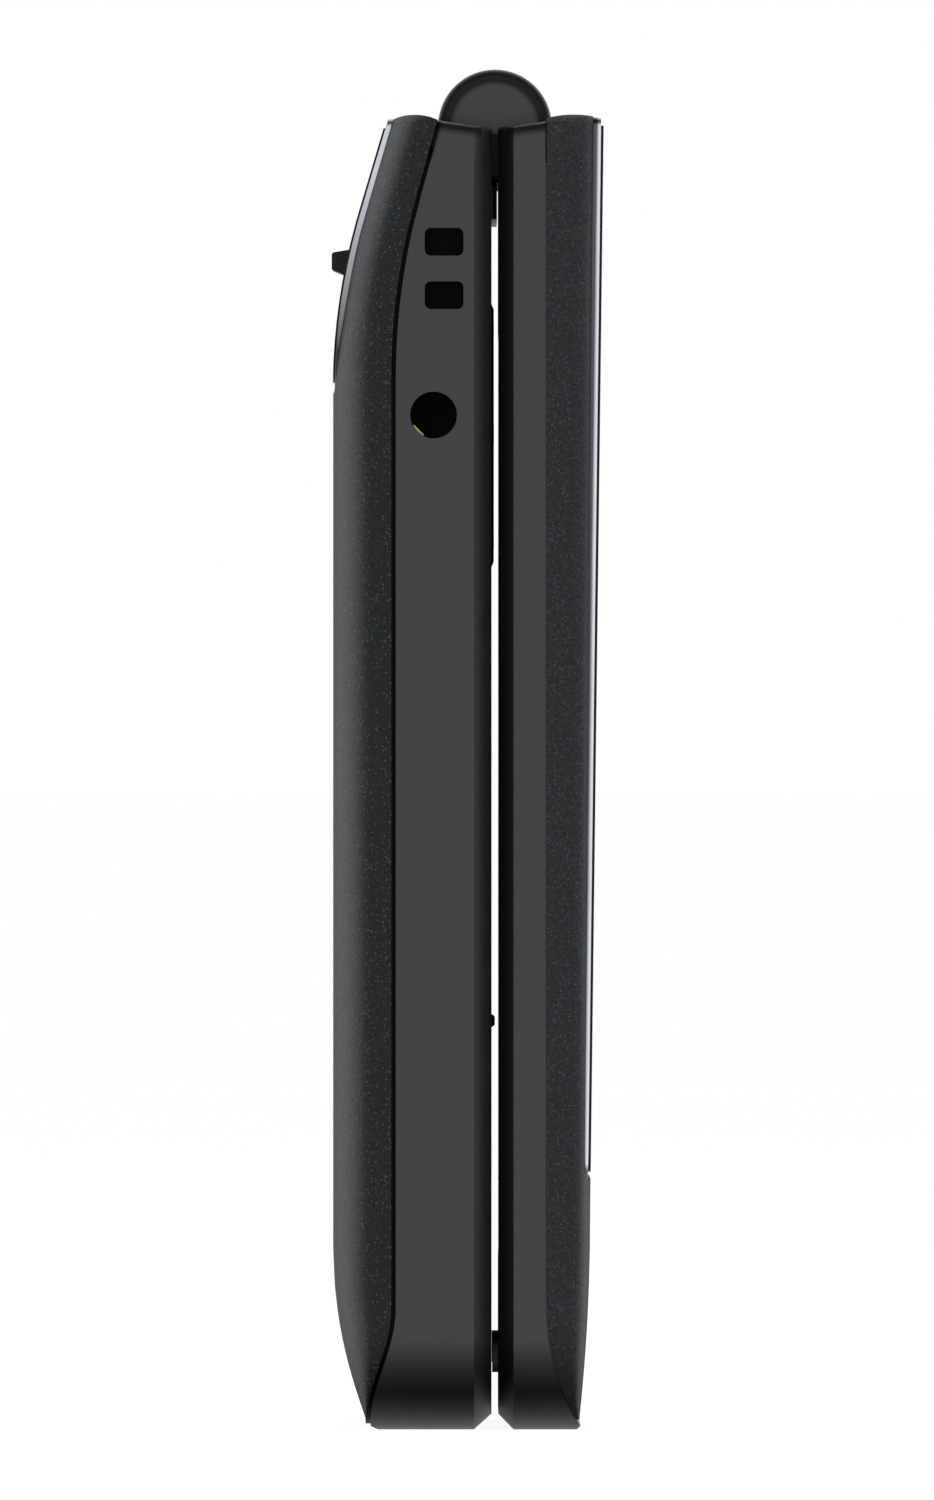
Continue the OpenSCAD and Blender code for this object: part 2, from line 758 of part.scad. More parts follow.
// Gimbal plate: the ring rocks on its upright ridge, and it rocks on its level one
module nav_pad() {
    outer = ok_r + 1.9;
    front = nav_back + 0.12;
    back = front + 0.25;
    ridge_half = 0.5;
    slack = 0.02;
    color("#8b8f94") difference() {
        union() {
            peg(0, nav_z, outer, front, back);
            intersection() {
                peg(0, nav_z, outer, nav_back + slack, dome_front - slack);
                union() {
                    block(-ridge_half, ridge_half, 0, back, nav_z - outer, nav_z + outer);
                    block(-outer, outer, front, 5, nav_z - ridge_half, nav_z + ridge_half);
                }
            }
        }
        peg(0, nav_z, ok_r + 0.6, 0, 5);
    }
}

module ok_key() {
    color("#55585b") peg(0, nav_z, ok_r, face + 0.1, board_depth - 0.66);
}

module keypad_membrane() {
    color("#9aa0a6") difference() {
        deep(key_back, key_back + 0.54) outline(frame_wall + pocket_gap, cavity_top - 1);
        key_holes(key_ledge + key_clear, 0, 5);
        for (place = screw_places) peg(place[0], place[1], boss_r + pocket_gap, 0, 5);
        lanyard_room(pocket_gap);
        rib_room();
    }
}

module dome_sheet() {
    color("#e8e2c8") union() {
        difference() {
            deep(board_depth - 0.1, board_depth)
                outline(frame_wall + 1.2, cavity_top - 3.5);
            for (place = screw_places) peg(place[0], place[1], boss_r + 0.4, 0, 5);
            jack_room(0.5);
            lanyard_room(0.8);
            usb_room(0.8);
        }
        for (key = number_keys) dome(key[0] * key_col, row_z(key[1]));
        for (col = [-1 : 1]) dome(col * key_col, row_z(call_row));
        for (side = [-1, 1]) dome(side * soft_x, soft_z + soft_plunger);
        dome(0, nav_z);
        for (turn = [0 : 90 : 270]) dome(switch_r * cos(turn), nav_z + switch_r * sin(turn));
    }
}

module dome(x, z) {
    peg(x, z, 2, dome_front, board_depth - 0.1);
}

// ---- Base frame ----

// Screws that hold the chassis and the board to the base frame
foot_screw = [half_w - 14.5, 3.6];
side_screw = [half_w - 5.3, nav_z - nav_r - nav_space + 3.35];
head_screw = [half_w - 11.5, cavity_top - 3.4];
screw_places = [
    for (place = [foot_screw, side_screw, head_screw], side = [-1, 1])
        [side * place[0], place[1]]
];
boss_r = 1.35;
boss_bore = screw_r + 0.05;

// Block round the lanyard passage, grown by a clearance
module lanyard_room(grow) {
    block(-cavity_half - over, -half_w + lanyard_bore + 0.9 + grow, key_back - over, 7,
        lanyard_z - 4.2 - grow, cavity_top + over);
}

// Space of the headphone socket, grown by a clearance
jack_z = body_h - jack_drop;
jack_side = 5.1;
module jack_room(grow) {
    side = jack_side + 2 * grow;
    translate([-half_w - over, jack_depth - side / 2, jack_z - side / 2])
        cube([frame_wall + jack_len + over + grow, side, side]);
}

usb_depth = board_depth + board_t + 1.35;
module usb_room(grow) {
    block(half_w - 8 - grow, half_w + over, board_depth + board_t - grow, usb_depth + 1.4 + grow,
        usb_z - usb_w / 2 - 0.2 - grow, usb_z + usb_w / 2 + 0.2 + grow);
}

// Stiffening rib in the front wall, above the navigation ring
module rib_room() {
    block(-8, 8, key_back - over, key_back + 1.2, cavity_top - 4, cavity_top - 2.6);
}

rocker_z = body_h - rocker_drop;
rocker_depth = 4;
pivot_r = 0.5;

// Pivot of the volume rocker, grown by a clearance
module rocker_pivot(grow) {
    reach = rocker_w / 2 + 0.5 + grow;
    peg(half_w - 1, rocker_z, pivot_r + grow, rocker_depth - reach, rocker_depth + reach);
}

module base_frame() {
    color("#434446") difference() {
        union() {
            difference() {
                intersection() {
                    chamfered_block(10.5, base_chamfer);
                    union() {
                        within_base_seam(-base_groove / 2);
                        intersection() {
                            within_base_seam(base_groove / 2);
                            behind_groove(base_groove_in);
                        }
                    }
                    under_vee();
                }
                deep(key_back, 14) outline(frame_wall, cavity_top);
                block(-cheek_in, cheek_in, -1, 14, base_lip, body_h + over);
                barrel(channel_r, -knuckle_in, knuckle_in);
                for (side = [-1, 1])
                    barrel(channel_r, min(side * knuckle_out, side * cheek_in),
                        max(side * knuckle_out, side * cheek_in));
            }
            intersection() {
                tongue_ring(10.5);
                within_base_seam(tongue);
            }
            for (side = [-1, 1])
                barrel(barrel_r, min(side * knuckle_in, side * knuckle_out),
                    max(side * knuckle_in, side * knuckle_out));
            // Apron under the barrel that closes the gap between the halves
            block(-cap_out, cap_out, -0.16, face + 0.2, hinge_z - 7.15, hinge_z - 4.6);
            // Block that carries the lanyard passage
            intersection() {
                block(-half_w + frame_wall - 0.1, -half_w + lanyard_bore + 0.9,
                    key_back - 0.1, 6.4, lanyard_z - 4.2, cavity_top + 0.1);
                within_base_seam(-base_groove / 2);
            }
            intersection() {
                rib_room();
                block(-half_w, half_w, key_back - 0.1, 9, 0, body_h);
            }
            for (place = screw_places)
                peg(place[0], place[1], boss_r, key_back - 0.1, board_depth);
        }
        key_holes(key_clear, -1, key_back);
        for (place = screw_places)
            peg(place[0], place[1], boss_bore, key_back + 0.2, board_depth + over);
        lanyard_holes();
        translate([-half_w - over, jack_depth, jack_z]) rotate([0, 90, 0])
            cylinder(r = jack_r, h = frame_wall + 2 * over);
        across(half_w - frame_wall - over, half_w + over)
            translate([rocker_depth, rocker_z])
                rounded(rocker_w + 2 * pocket_gap, rocker_len + 4 * pocket_gap, 1.4);
        rocker_pivot(pin_clear);
        across(half_w - frame_wall - over, half_w + over)
            translate([usb_depth, usb_z]) rounded(usb_t, usb_w, 0.8);
        // Pin hole in the left knuckle, cartridge bore in the right one
        barrel(pin_r + press_gap, -knuckle_out - over, -knuckle_in + over);
        barrel(cartridge_r + press_gap, knuckle_in - over, knuckle_out + over);
        // Microphone hole under the keypad
        peg(0, 3.4, 0.5, -1, key_back + over);
    }
}

module main_board() {
    color("#1f6b3f") difference() {
        deep(board_depth, board_depth + board_t)
            outline(frame_wall + 0.4, cavity_top - 1);
        for (place = screw_places) peg(place[0], place[1], 0.95, 0, 5);
        jack_room(pocket_gap);
        lanyard_room(pocket_gap);
    }
}

// Shielded parts of the board as [left, right, low end, high end]
cans = [
    [4.5 - half_w, 0, 12, 32],
    [2, half_w - 10.5, 17, 43],
    [15 - half_w, camera_x - 6.5, body_h - 17.3, body_h - 9.3]
];

module shield_cans() {
    color("#b9bdc1") for (can = cans)
        block(can[0], can[1], board_depth + board_t, chassis_depth - 0.1, can[2], can[3]);
}

module jack_socket() {
    socket_x = -half_w + frame_wall;
    color("#1b1c1d") difference() {
        translate([socket_x, jack_depth - jack_side / 2, jack_z - jack_side / 2])
            cube([jack_len, jack_side, jack_side]);
        translate([socket_x - over, jack_depth, jack_z]) rotate([0, 90, 0])
            cylinder(r = jack_r, h = jack_len - 0.8 + over);
    }
}

// Spring leaf that shows in the mouth of the headphone hole, low and to the back
module jack_contact() {
    leaf_w = 1.12;
    leaf_t = 0.22;
    leaf_len = 5;
    color("#b8ad62") translate([-half_w + frame_wall + 0.1, jack_depth, jack_z])
        rotate([-45, 0, 0]) intersection() {
            translate([0, jack_r - leaf_t, -leaf_w / 2]) cube([leaf_len, jack_r, leaf_w]);
            rotate([0, 90, 0]) cylinder(r = jack_r - 0.02, h = leaf_len);
        }
}

module usb_socket() {
    color("#c4c7cb") difference() {
        across(half_w - 7.6, half_w - 0.5) translate([usb_depth, usb_z])
            rounded(usb_t - 0.02, usb_w - 0.1, 0.75);
        across(half_w - 7, half_w + over) translate([usb_depth, usb_z])
            rounded(usb_t - 0.6, usb_w - 0.7, 0.5);
    }
    // Tongue with the contacts
    color("#1b1c1d") across(half_w - 7.3, half_w - 1.6) translate([usb_depth, usb_z])
        square([0.6, usb_w - 2], center = true);
}

// The vibration motor lies on the board, its eccentric weight towards the side
motor_r = 2;
motor_len = 7;
weight_len = 2;
weight_gap = 0.4;
motor_x = half_w - 14.5;
motor_z = body_h - 27;

module vibration_motor() {
    depth = board_depth + board_t + motor_r;
    weight_x = motor_x + motor_len + weight_gap;
    color("#b4b7bb") peg_along_x(motor_x, motor_x + motor_len, motor_r, depth, motor_z);
    color("#8a7d5a") intersection() {
        peg_along_x(weight_x, weight_x + weight_len, motor_r - 0.1, depth, motor_z);
        block(0, half_w, 0, 20, 0, motor_z);
    }
}

module motor_room() {
    block(motor_x - 0.2, motor_x + motor_len + weight_gap + weight_len + 0.2, 0, 12,
        motor_z - motor_r - 0.2, motor_z + motor_r + 0.2);
}

module peg_along_x(from, to, r, depth, z) {
    translate([from, depth, z]) rotate([0, 90, 0]) cylinder(r = r, h = to - from);
}

// ---- Chassis, battery and what they hold ----

plate_back = chassis_depth + chassis_t;
bay_wall = 0.8;
battery_w = body_w - 2 * battery_side;
battery_top = body_h - battery_drop;
battery_l = battery_top - battery_z;
bay_w = battery_w + 2 * pocket_gap;
bay_l = battery_l + 2 * pocket_gap;
bay_z = battery_z + battery_l / 2;

module rear_chassis() {
    color("#3b3d40") difference() {
        union() {
            deep(chassis_depth, plate_back) outline(frame_wall + 0.3, cavity_top - 1);
            translate([0, 0, bay_z]) deep(plate_back, plate_back + 2.6) difference() {
                square([bay_w + 2 * bay_wall, bay_l + 2 * bay_wall], center = true);
                square([bay_w, bay_l], center = true);
            }
            for (place = screw_places)
                peg(place[0], place[1], 1.6, board_depth + board_t, chassis_depth + 0.1);
        }
        for (place = screw_places) peg(place[0], place[1], boss_bore, 0, 8);
        jack_room(pocket_gap);
        lanyard_room(pocket_gap);
        usb_room(pocket_gap);
        translate([camera_x, 0, camera_z]) deep(0, 12)
            square(camera_size + 2 * pocket_gap, center = true);
        motor_room();
    }
}

module battery() {
    color("#d8d9d6") translate([0, 0, bay_z])
        deep(plate_back, plate_back + battery_t) rounded(battery_w, battery_l, 1);
}

module battery_contacts() {
    low = battery_top + pocket_gap + bay_wall;
    color("#b8ad62") for (x = [-4, 0, 4])
        block(x - 0.6, x + 0.6, plate_back, plate_back + 1.8, low, low + 1.4);
}

// Holder between the battery and the loudspeaker, open towards the battery
module sim_holder() {
    low = battery_top + bay_wall + 2;
    high = speaker_low - 2.1;
    half = 7.5;
    wall = 1.1;
    color("#aeb1b5") difference() {
        block(-half, half, plate_back, plate_back + 1.3, low, high);
        block(wall - half, half - wall, plate_back + 0.4, plate_back + 1, low - over,
            high - wall);
    }
}

module loudspeaker() {
    color("#1c1d1f") union() {
        block(speaker_x - 6, speaker_x + 6, plate_back, plate_back + 2.4,
            speaker_low, 2 * speaker_z - speaker_low);
        peg(speaker_x, speaker_z, 2.6, plate_back + 2.3, plate_back + 2.8);
    }
}

module antenna() {
    half = half_w - 10.5;
    color("#c29a4b") block(-half, half, plate_back, plate_back + 0.15, 6.2, battery_z - 1.6);
}

module base_screws() {
    color("#8f9296") for (place = screw_places) {
        peg(place[0], place[1], head_r, plate_back, plate_back + head_t);
        peg(place[0], place[1], screw_r, key_back + 0.3, plate_back + 0.1);
    }
}

// ---- Hinge ----

module hinge_pin() {
    color("#c9ccd0") barrel(pin_r, -knuckle_out, -barrel_half + pin_reach);
}

module hinge_cartridge() {
    color("#a9adb2") difference() {
        barrel(cartridge_r, knuckle_in + 0.2, knuckle_out);
        barrel(pin_r + pin_clear, knuckle_in - over, knuckle_out - 0.6);
    }
}

module hinge_caps() {
    color("#3e3f41") for (side = [-1, 1]) mirror([side < 0 ? 1 : 0, 0, 0])
        translate([knuckle_out, 0, hinge_z]) rotate([0, 90, 0]) rotate_extrude() {
            square([barrel_r, cap_t - cap_round]);
            square([barrel_r - cap_round, cap_t]);
            intersection() {
                translate([barrel_r - cap_round, cap_t - cap_round]) circle(cap_round);
                square([barrel_r, cap_t]);
            }
        }
}

// Keyed shaft that the cam of the cartridge turns
module hinge_shaft() {
    color("#c9ccd0") union() {
        barrel(pin_r, barrel_half - 0.5, knuckle_out - 0.8);
        translate([barrel_half - 5, 0, hinge_z]) rotate([0, 90, 0])
            cylinder(r = 2.4, h = 5, $fn = 6);
    }
}

// ---- Moving pieces on the sides and the back ----

module volume_rocker() {
    color("#2d2e30") union() {
        across(half_w - frame_wall + 0.2, half_w)
            translate([rocker_depth, rocker_z]) rounded(rocker_w, rocker_len, 1.3);
        rocker_pivot(0);
    }
}

module sos_slider() {
    tip_h = 1.3;
    root = base_back(slider_z) - 1.6;
    plate_w = ridge_w + 2;
    color("#161718") union() {
        across(slider_x - ridge_w / 2, slider_x + ridge_w / 2) polygon([
            [root, slider_z - ridge_h / 2], [base_back(slider_z) + 0.1, slider_z - ridge_h / 2],
            [ridge_tip - 0.12, slider_z + 0.1 - tip_h / 2 - 0.05],
            [ridge_tip, slider_z + 0.1 - tip_h / 2 + 0.1],
            [ridge_tip, slider_z + 0.1 + tip_h / 2 - 0.1],
            [ridge_tip - 0.12, slider_z + 0.1 + tip_h / 2 + 0.05],
            [base_back(slider_z) - 0.2, slider_z + ridge_h / 2], [root, slider_z + ridge_h / 2]
        ]);
        // Plate that rides under the panel
        on_back(slider_x, slider_z)
            block(-plate_w / 2, plate_w / 2, -1.6, -panel_t - 0.4, -2.6, 2.6);
    }
}

// ---- Lid ----

lens_half = half_w - lens_side;
lens_high = body_h - lens_drop;
main_w = 2 * (lens_half - mask_side);
main_low = lens_low + mask_foot;
main_h = lens_high - mask_head - main_low;
main_z = main_low + main_h / 2;
main_back = face + lens_wall + 1.8;
lid_screw_places = [
    for (z = [main_low + 2.5, main_low + main_h - 2.5], side = [-1, 1])
        [side * (half_w - 3.3), z]
];
lid_boss_r = 1.2;
ear_z = 6.6;
bumper_z = 5.75;

module lens_shape(grow) {
    translate([0, (lens_low + lens_high) / 2])
        rounded(2 * (lens_half + grow), lens_high - lens_low + 2 * grow, 1.5 + grow);
}

module bumper_shape(grow) {
    for (side = [-1, 1]) translate([side * (half_w - bumper_side), bumper_z])
        rounded(1.6 + 2 * grow, 2.5 + 2 * grow, 0.75 + grow);
}

module lid_frame() {
    color("#434446") of_lid() difference() {
        union() {
            difference() {
                intersection() {
                    chamfered_block(8, lid_chamfer);
                    union() {
                        within_lid_seam(-lid_groove / 2);
                        intersection() {
                            within_lid_seam(lid_groove / 2);
                            behind_groove(lid_groove_in);
                        }
                    }
                    under_vee();
                }
                deep(face + lens_wall, 14) outline(frame_wall, cavity_top);
                block(-cheek_in, cheek_in, -1, 14, lid_lip, body_h + over);
                barrel(channel_r, -cheek_in, cheek_in);
            }
            intersection() {
                tongue_ring(8);
                within_lid_seam(tongue);
            }
            barrel(barrel_r, -barrel_half, barrel_half);
            // Neck between the barrel and the wall under it
            block(-barrel_half, barrel_half, face, lid_seam_depth - lid_groove / 2,
                cavity_top, lid_lip);
            for (place = lid_screw_places)
                peg(place[0], place[1], lid_boss_r, face + lens_wall - 0.1, main_back);
        }
        // Seat and window of the display lens
        deep(-1, face + lens_t) lens_shape(pocket_gap / 2);
        translate([0, 0, main_z]) deep(-1, 4) rounded(main_w, main_h, 0.8);
        for (place = lid_screw_places)
            peg(place[0], place[1], 0.55, face + lens_wall, main_back + over);
        deep(-1, face + 0.5) bumper_shape(0.05);
        // Slot that the earpiece speaks through
        translate([0, 0, ear_z]) deep(-1, 4) rounded(9, 1.2, 0.55);
        barrel(pin_r + pin_clear, -barrel_half - over, -barrel_half + pin_reach + 0.4);
        translate([barrel_half - 5.2, 0, hinge_z]) rotate([0, 90, 0])
            cylinder(r = 2.45, h = 5.2 + over, $fn = 6);
    }
}

front_heights = [front_foot - 1, body_h + 2];
front_half = half_w - front_side;

// Slab along the lid's sloping front, between two depths below the glass
module front_slab(under, above) {
    across(-half_w, half_w) polygon([
        for (z = front_heights) [front_glass(z) - under, z],
        for (i = [1, 0]) [front_glass(front_heights[i]) + above, front_heights[i]]
    ]);
}

module front_outline(inset) {
    tongue_shape(front_half - inset, front_foot + inset, panel_top - inset,
        front_r - inset, panel_top_r - inset);
}

// Everything under the rounded upper edge of the front
module under_brow() {
    depth = front_glass(panel_top);
    block(-half_w, half_w, -1, depth - brow_r, -1, body_h);
    block(-half_w, half_w, -1, depth + over, -1, panel_top - brow_r);
    translate([-half_w, depth - brow_r, panel_top - brow_r]) rotate([0, 90, 0])
        cylinder(r = brow_r, h = body_w);
}

front_trim_w = 0.6;

module lid_glass() {
    color("#060607") of_lid() intersection() {
        front_slab(front_t, 0);
        deep(4, 12) front_outline(front_trim_w + 0.02);
        under_brow();
    }
}

module lid_trim() {
    color("#d0d3da") of_lid() difference() {
        intersection() {
            front_slab(front_t, -0.2);
            deep(4, 12) front_outline(0);
            under_brow();
        }
        deep(3, 13) front_outline(front_trim_w);
    }
}

module lid_cover() {
    color("#4a4d4f") of_lid() difference() {
        intersection() {
            lid_skin();
            under_crown(6.1, 8);
        }
        lid_cover_cavity();
        barrel(channel_r, -cheek_in, cheek_in);
        intersection() {
            front_slab(front_t, 2);
            deep(3, 13) {
                front_outline(-pocket_gap / 2);
                translate([-front_half, panel_top - 3]) square([2 * front_half, 6]);
            }
        }
        translate([0, 0, body_h - outer_drop]) deep(3, 13) rounded(outer_w, outer_h, 0.8);
    }
}

lid_board_back = main_back + board_t;

module outer_display() {
    low_front = lid_front(body_h - outer_drop - outer_h / 2) - cover_wall * 1.4;
    color("#2c3136") of_lid() translate([0, 0, body_h - outer_drop])
        deep(lid_board_back, low_front - 0.1) square([outer_w + 3, outer_h + 4], center = true);
}

module lid_board() {
    color("#1f6b3f") of_lid() difference() {
        translate([0, 0, main_z]) deep(main_back, lid_board_back)
            square([2 * cavity_half - 0.8, main_h + 5], center = true);
        for (place = lid_screw_places) peg(place[0], place[1], 0.7, 0, 8);
    }
}

module main_display() {
    color("#31363d") of_lid() translate([0, 0, main_z])
        deep(face + lens_wall, main_back) square([main_w + 1.4, main_h + 4], center = true);
}

module display_lens() {
    color("#101317") of_lid() deep(face, face + lens_t) lens_shape(0);
}

module earpiece() {
    color("#1c1d1f") of_lid()
        block(-5.5, 5.5, face + lens_wall, face + lens_wall + 2.2, ear_z - 3, ear_z + 3);
}

module lid_bumpers() {
    color("#0c0c0d") of_lid() deep(-face + bumper_clear, face + 0.5) bumper_shape(0);
}

module lid_magnet() {
    color("#9b9da0") of_lid()
        peg(half_w - 9.5, 8.4, 2, face + lens_wall, face + lens_wall + 1.2);
}

module lid_screws() {
    color("#8f9296") of_lid() for (place = lid_screw_places) {
        peg(place[0], place[1], 1, lid_board_back, lid_board_back + 0.5);
        peg(place[0], place[1], 0.5, face + lens_wall + 0.2, lid_board_back + 0.1);
    }
}

in_place() base_frame();
in_place() battery_cover();
in_place() rear_chassis();
in_place() camera_panel();
in_place() camera_trim();
in_place() camera_module();
in_place() camera_lens();
in_place() flash_lens();
in_place() loudspeaker();
in_place() battery();
in_place() battery_contacts();
in_place() sim_holder();
in_place() main_board();
in_place() shield_cans();
in_place() keypad_membrane();
in_place() dome_sheet();
in_place() jack_socket();
in_place() jack_contact();
in_place() usb_socket();
in_place() vibration_motor();
in_place() antenna();
in_place() base_screws();
in_place() hinge_pin();
in_place() hinge_cartridge();
in_place() hinge_caps();
in_place() nav_pad();
in_place() nav_ring();
in_place() ok_key();
in_place() soft_key(-1);  // soft_key_left
in_place() soft_key(1);  // soft_key_right
in_place() call_row_key(-1, "#1f7a3d");  // call_key
in_place() call_row_key(0, "#2b2c2e");  // clear_key
in_place() call_row_key(1, "#a3262b");  // end_key
in_place() number_key(0);  // key_1
in_place() number_key(1);  // key_2
in_place() number_key(2);  // key_3
in_place() number_key(3);  // key_4
in_place() middle_key();  // key_5
in_place() number_key(5);  // key_6
in_place() number_key(6);  // key_7
in_place() number_key(7);  // key_8
in_place() number_key(8);  // key_9
in_place() number_key(9);  // key_star
in_place() number_key(10);  // key_0
in_place() number_key(11);  // key_hash
in_place() volume_rocker();
in_place() sos_slider();
lid_frame();
lid_cover();
lid_glass();
lid_trim();
outer_display();
lid_board();
main_display();
display_lens();
earpiece();
lid_bumpers();
lid_magnet();
lid_screws();
in_place() hinge_shaft();
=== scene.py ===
"""Looks, prints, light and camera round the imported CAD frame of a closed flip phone.

Sizes and places are in mm, in the frame's axes: X across the width, Y from the lid's
front to the base's back, Z up towards the hinge. A depth is measured from the parting
plane between the two halves. MM turns a length into Blender's metres.
"""

import json
import math

import bmesh
import bpy
from mathutils import Matrix, Vector


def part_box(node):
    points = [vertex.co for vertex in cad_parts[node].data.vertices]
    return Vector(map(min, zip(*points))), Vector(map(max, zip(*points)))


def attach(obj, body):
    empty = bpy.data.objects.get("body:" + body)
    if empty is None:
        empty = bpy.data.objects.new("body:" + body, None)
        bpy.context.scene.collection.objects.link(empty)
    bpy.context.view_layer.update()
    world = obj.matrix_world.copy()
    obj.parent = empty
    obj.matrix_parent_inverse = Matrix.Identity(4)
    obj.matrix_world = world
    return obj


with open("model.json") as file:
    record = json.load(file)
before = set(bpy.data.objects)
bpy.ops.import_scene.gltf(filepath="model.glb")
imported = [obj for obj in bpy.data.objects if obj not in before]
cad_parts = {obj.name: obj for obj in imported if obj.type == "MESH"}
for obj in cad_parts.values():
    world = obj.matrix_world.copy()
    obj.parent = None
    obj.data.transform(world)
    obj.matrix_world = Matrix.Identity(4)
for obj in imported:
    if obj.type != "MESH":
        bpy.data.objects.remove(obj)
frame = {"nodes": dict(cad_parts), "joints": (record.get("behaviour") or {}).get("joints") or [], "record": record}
bpy.context.view_layer.update()
nodes = frame["nodes"]

MM = 0.001


def box_mm(node):
    """Lowest and highest corner of a CAD node at rest."""
    return [[place / MM for place in corner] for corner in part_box(node)]


def middle(node):
    return [(low + high) / 2 for low, high in zip(*box_mm(node))]


# The hinge's axis lies in the parting plane
hinge = next(joint for joint in frame["joints"] if joint["name"] == "lid_hinge")
PLANE_Y, HINGE_Z = (place / MM for place in hinge["pos_m"][1:])
HALF_W = box_mm("base_frame")[1][0]

# Sizes that the frame's boxes don't give, as in the part's source
BODY_H = 101.3
BASE_DEPTH, LID_DEPTH = 12.54, 7.37
CORNER_R = 8.0
FACE = 0.26
LID_CHAMFER = 1.18
LEAN_Z, LEAN_R, LEAN_DEG = 79.8, 50.0, 16.5
FRONT_FOOT, FRONT_DEG = 19.3, 0.708
VEE_DROP, VEE_DEG = 0.2, 7.7
# Heights between which the apron and the barrel close the gap between the halves
GAP_CLOSED = (92.5, 99.9)


# ---- Materials ----

class Graph:
    """A shader node tree, built from its inputs to its output."""

    def __init__(self, owner, space="Object", unit=MM):
        self.owner = owner
        owner.use_nodes = True
        self.tree = owner.node_tree
        self.tree.nodes.clear()
        self.space = self.node("ShaderNodeTexCoord").outputs[space]
        self.unit = unit

    def node(self, kind, **settings):
        made = self.tree.nodes.new(kind)
        for key, value in settings.items():
            setattr(made, key, value)
        return made

    def link(self, source, target):
        self.tree.links.new(source, target)

    def feed(self, socket, value):
        """Links a socket, or sets it where the value is plain."""
        if isinstance(value, bpy.types.NodeSocket):
            self.link(value, socket)
        else:
            socket.default_value = value

    def surface(self, shader, output="ShaderNodeOutputMaterial"):
        self.link(shader.outputs[0], self.node(output).inputs["Surface"])

    def noise(self, per_mm, detail=2.0, rough=0.5, space=None):
        made = self.node("ShaderNodeTexNoise")
        self.link(space or self.space, made.inputs["Vector"])
        made.inputs["Scale"].default_value = per_mm / MM
        made.inputs["Detail"].default_value = detail
        made.inputs["Roughness"].default_value = rough
        return made.outputs["Fac"]

    def cells(self, per_mm):
        """Two random numbers per cell and the distance to the cell's middle."""
        made = self.node("ShaderNodeTexVoronoi")
        self.link(self.space, made.inputs["Vector"])
        made.inputs["Scale"].default_value = per_mm / MM
        split = self.node("ShaderNodeSeparateColor")
        self.link(made.outputs["Color"], split.inputs[0])
        return split.outputs[0], split.outputs[1], made.outputs["Distance"]

    def spread(self, value, low, high, to_low=0.0, to_high=1.0, smooth=False):
        """Maps low to to_low and high to to_high, and holds the ends."""
        made = self.node("ShaderNodeMapRange")
        if smooth:
            made.interpolation_type = "SMOOTHSTEP"
        self.feed(made.inputs["Value"], value)
        for key, number in (("From Min", low), ("From Max", high),
                            ("To Min", to_low), ("To Max", to_high)):
            self.feed(made.inputs[key], number)
        return made.outputs["Result"]

    def math(self, operation, first, second=0.0):
        made = self.node("ShaderNodeMath", operation=operation)
        self.feed(made.inputs[0], first)
        self.feed(made.inputs[1], second)
        return made.outputs[0]

    def chain(self, operation, values):
        total, *others = values
        for value in others:
            total = self.math(operation, total, value)
        return total

    def times(self, *values):
        return self.chain("MULTIPLY", values)

    def most(self, *values):
        return self.chain("MAXIMUM", values)

    def minus(self, first, second):
        return self.math("SUBTRACT", first, second)

    def length(self, across, up):
        squares = self.math("ADD", self.times(across, across), self.times(up, up))
        return self.math("SQRT", squares)

    def mix(self, share, first, second):
        made = self.node("ShaderNodeMix", data_type="RGBA")
        self.feed(made.inputs["Factor"], share)
        self.feed(made.inputs[6], rgba(first))
        self.feed(made.inputs[7], rgba(second))
        return made.outputs[2]

    def bump(self, height, depth, normal=None):
        made = self.node("ShaderNodeBump")
        made.inputs["Strength"].default_value = 1.0
        made.inputs["Distance"].default_value = depth * MM
        self.link(height, made.inputs["Height"])
        if normal is not None:
            self.link(normal, made.inputs["Normal"])
        return made.outputs["Normal"]

    def rounded(self, radius):
        """Normal of edges that are rounded by a number or a socket of mm."""
        made = self.node("ShaderNodeBevel", samples=6)
        if isinstance(radius, bpy.types.NodeSocket):
            self.link(self.times(radius, MM), made.inputs["Radius"])
        else:
            made.inputs["Radius"].default_value = radius * MM
        return made.outputs["Normal"]

    def edges(self, rounded_normal):
        """1 on an outer or inner edge, 0 on a flat."""
        plain = self.node("ShaderNodeNewGeometry").outputs["True Normal"]
        made = self.node("ShaderNodeVectorMath", operation="DOT_PRODUCT")
        self.link(plain, made.inputs[0])
        self.link(rounded_normal, made.inputs[1])
        return self.spread(made.outputs["Value"], 1.0, 0.8)

    def axis(self, index):
        """Place along an axis: 0 for X, 1 for Y, 2 for Z."""
        made = self.node("ShaderNodeSeparateXYZ")
        self.link(self.space, made.inputs[0])
        return self.math("DIVIDE", made.outputs[index], self.unit)

    def away(self, index, place=0.0):
        """Distance along an axis from a place."""
        return self.math("ABSOLUTE", self.minus(self.axis(index), place))

    def within(self, index, low, high, blur=0.02):
        """1 between two places along an axis, 0 outside them."""
        place = self.axis(index)
        return self.times(self.spread(place, low - blur, low + blur),
                          self.spread(place, high + blur, high - blur))

    def shader(self, colour, rough, **inputs):
        made = self.node("ShaderNodeBsdfPrincipled")
        self.feed(made.inputs["Base Color"], rgba(colour))
        self.feed(made.inputs["Roughness"], rough)
        for key, value in inputs.items():
            self.feed(made.inputs[key.replace("_", " ")], value)
        self.surface(made)


def material_graph(name):
    return Graph(bpy.data.materials.new(name))


def rgba(colour):
    if isinstance(colour, (tuple, list)) and len(colour) == 3:
        return (*colour, 1.0)
    return colour


def lighter(colour, gain):
    return tuple(min(1.0, part * gain) for part in colour)


